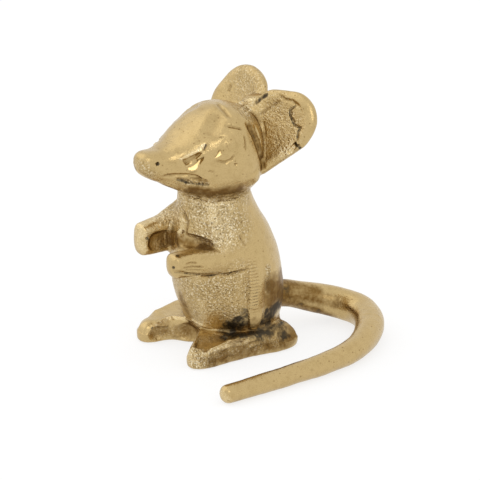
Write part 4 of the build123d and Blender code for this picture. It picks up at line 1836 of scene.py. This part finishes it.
@dataclass(frozen=True)
class Handling:
    """How the pattern is rounded and rubbed smooth, and how uneven it is left."""

    crowns: tuple[Crown, ...] = (
        Crown(Casting.FOOT_LEFT, LEFT_SOLE, 5.0, -8.0, 1.4, 2.6, 6.0),
        Crown(Casting.FOOT_LEFT, LEFT_SOLE, 17.0, 3.0, 0.0, 3.4, 1.8),
        Crown(Casting.FOOT_RIGHT, RIGHT_SOLE, 15.0, 4.0, 0.0, 3.0, 3.4),
    )
    first_rub: float = 0.5
    first_rounds: int = 2
    rub: float = 0.6
    seam_reach: int = 6
    seam_rounds: int = 34
    shoulder_ahead: float = 10.0
    shoulder_fade: float = 3.0
    shoulder_rounds: int = 90
    ear_height: float = 55.0
    ear_rounds: int = 40
    bridge_full: float = 1.4
    bridge_reach: float = 6.5
    bridge_rounds: int = 90
    waves: tuple[Range, ...] = ((6.0, 0.16), (2.2, 0.05))
    grain_size: float = 0.9
    grain_height: float = 0.10
    strip_clears_dark: float = 0.9
    strip_clears_grain: float = 0.8
    fine_rounds: int = 8
    fine_depth: float = 0.07
    fine_amount: float = 0.5
    wide_rounds: int = 80
    wide_depth: float = 0.6
    wide_amount: float = 0.3
    bright_clears: float = 0.7

    def soften(self, figure: Figure, pattern: Pattern, labels: Array, mine: dict[Casting, Array]) -> None:
        """Rounds the feet and blends the castings into each other at their seams.

        Args:
            figure: The figure.
            pattern: Its pattern.
            labels: The casting of each face.
            mine: For each casting, one at its points and nought at the others.
        """
        ahead = -pattern.points[:, 1]
        flat = np.full(len(pattern.points), figure.foot_left.height)
        for crown in self.crowns:
            share = np.clip((ahead - crown.start) / crown.fade, 0, 1)
            pattern.crown(mine[crown.casting] * share, crown.sole, flat + crown.lift, crown.low, crown.radius)
        seams = figure.seams(pattern, labels, self.seam_reach)
        pattern.relax(seams * self.rub, self.seam_rounds)
        shoulders = np.clip(mine[Casting.ARM_LEFT] + mine[Casting.ARM_RIGHT] + mine[Casting.TORSO], 0, 1)
        behind = np.clip((pattern.points[:, 1] + self.shoulder_ahead) / self.shoulder_fade, 0, 1)
        beside = np.where(pattern.points[:, 0] < 0, 1.0, behind)
        pattern.relax(seams * shoulders * beside * self.rub, self.shoulder_rounds)
        ears = np.maximum(mine[Casting.EAR_LEFT], mine[Casting.EAR_RIGHT])
        crest = np.clip(ears + mine[Casting.HEAD], 0, 1)
        pattern.relax(seams * crest * (pattern.points[:, 2] > self.ear_height) * self.rub, self.ear_rounds)
        bridge = np.linalg.norm(pattern.points - np.array(figure.head.bridge), axis=1)
        close_by = np.clip(self.bridge_full - bridge / self.bridge_reach, 0, 1)
        pattern.relax(close_by * self.rub, self.bridge_rounds)

    def finish_and_painted_light(self, pattern: Pattern) -> None:
        """Rubs the finish, the painted highlights and the painted shade on, and roughens what is left grainy.

        Args:
            pattern: The pattern.
        """
        rubbing = FinishAndPaintedLight()
        for name in ("grain", "bright", "tarnish_and_shade", "dark"):
            for dab in getattr(rubbing, name):
                pattern.rub(name, dab)
        layers = pattern.finish_and_painted_light
        layers["dark"] *= 1 - self.strip_clears_dark * layers["strip"]
        layers["grain"] *= 1 - self.strip_clears_grain * layers["strip"]
        pattern.roughen(self.grain_size, self.grain_height, layers["grain"])
        LOG.info("mended: %d folds", pattern.mend())
        pattern.refresh()
        fine = np.clip(pattern.hollow(self.fine_rounds, self.fine_depth), 0, 1)
        wide = np.clip(pattern.hollow(self.wide_rounds, self.wide_depth), 0, 1)
        deep = np.clip(self.fine_amount * fine + self.wide_amount * wide, 0, 1)
        layers["hollow"] = deep * (1 - self.bright_clears * np.clip(layers["bright"], 0, 1))


def work_over(figure: Figure) -> tuple[Pattern, Array]:
    """Presses the figure and works over its surface.

    Args:
        figure: The figure.

    Returns:
        The finished pattern, and the casting that each face belongs to.
    """
    pattern, labels = figure.press()
    mine = {}
    for number, casting in enumerate(Casting):
        mine[casting] = np.zeros(len(pattern.points))
        mine[casting][pattern.quads[labels == number].ravel()] = 1.0
    face, body, handling = FaceWork(), BodyWork(), Handling()
    pattern.relax(handling.first_rub, handling.first_rounds)
    for scoop in body.scoops:
        pattern.scoop(scoop, mine[scoop.casting])
    handling.soften(figure, pattern, labels, mine)
    LOG.info("mended: %d folds", pattern.mend())
    pattern.refresh()
    for size, height in handling.waves:
        pattern.roughen(size, height)
    pattern.refresh()
    for facet in face.facets + body.facets:
        pattern.pare(facet)
    pattern.refresh()
    for cut in face.cuts + body.cuts:
        pattern.gouge(cut)
    pattern.refresh()
    FlankStrip().raise_on(pattern, mine[Casting.TORSO])
    pattern.refresh()
    handling.finish_and_painted_light(pattern)
    return pattern, labels


def main() -> None:
    """Builds the figure and its studio."""
    logging.basicConfig(level=logging.INFO, format="%(name)s: %(message)s")
    bpy.context.scene.view_settings.view_transform = "Standard"
    figure = Figure()
    pattern, labels = work_over(figure)
    figure.cast(pattern, labels, BrassFinish().make())
    Studio(figure.view).build()


if __name__ == "__main__":
    main()
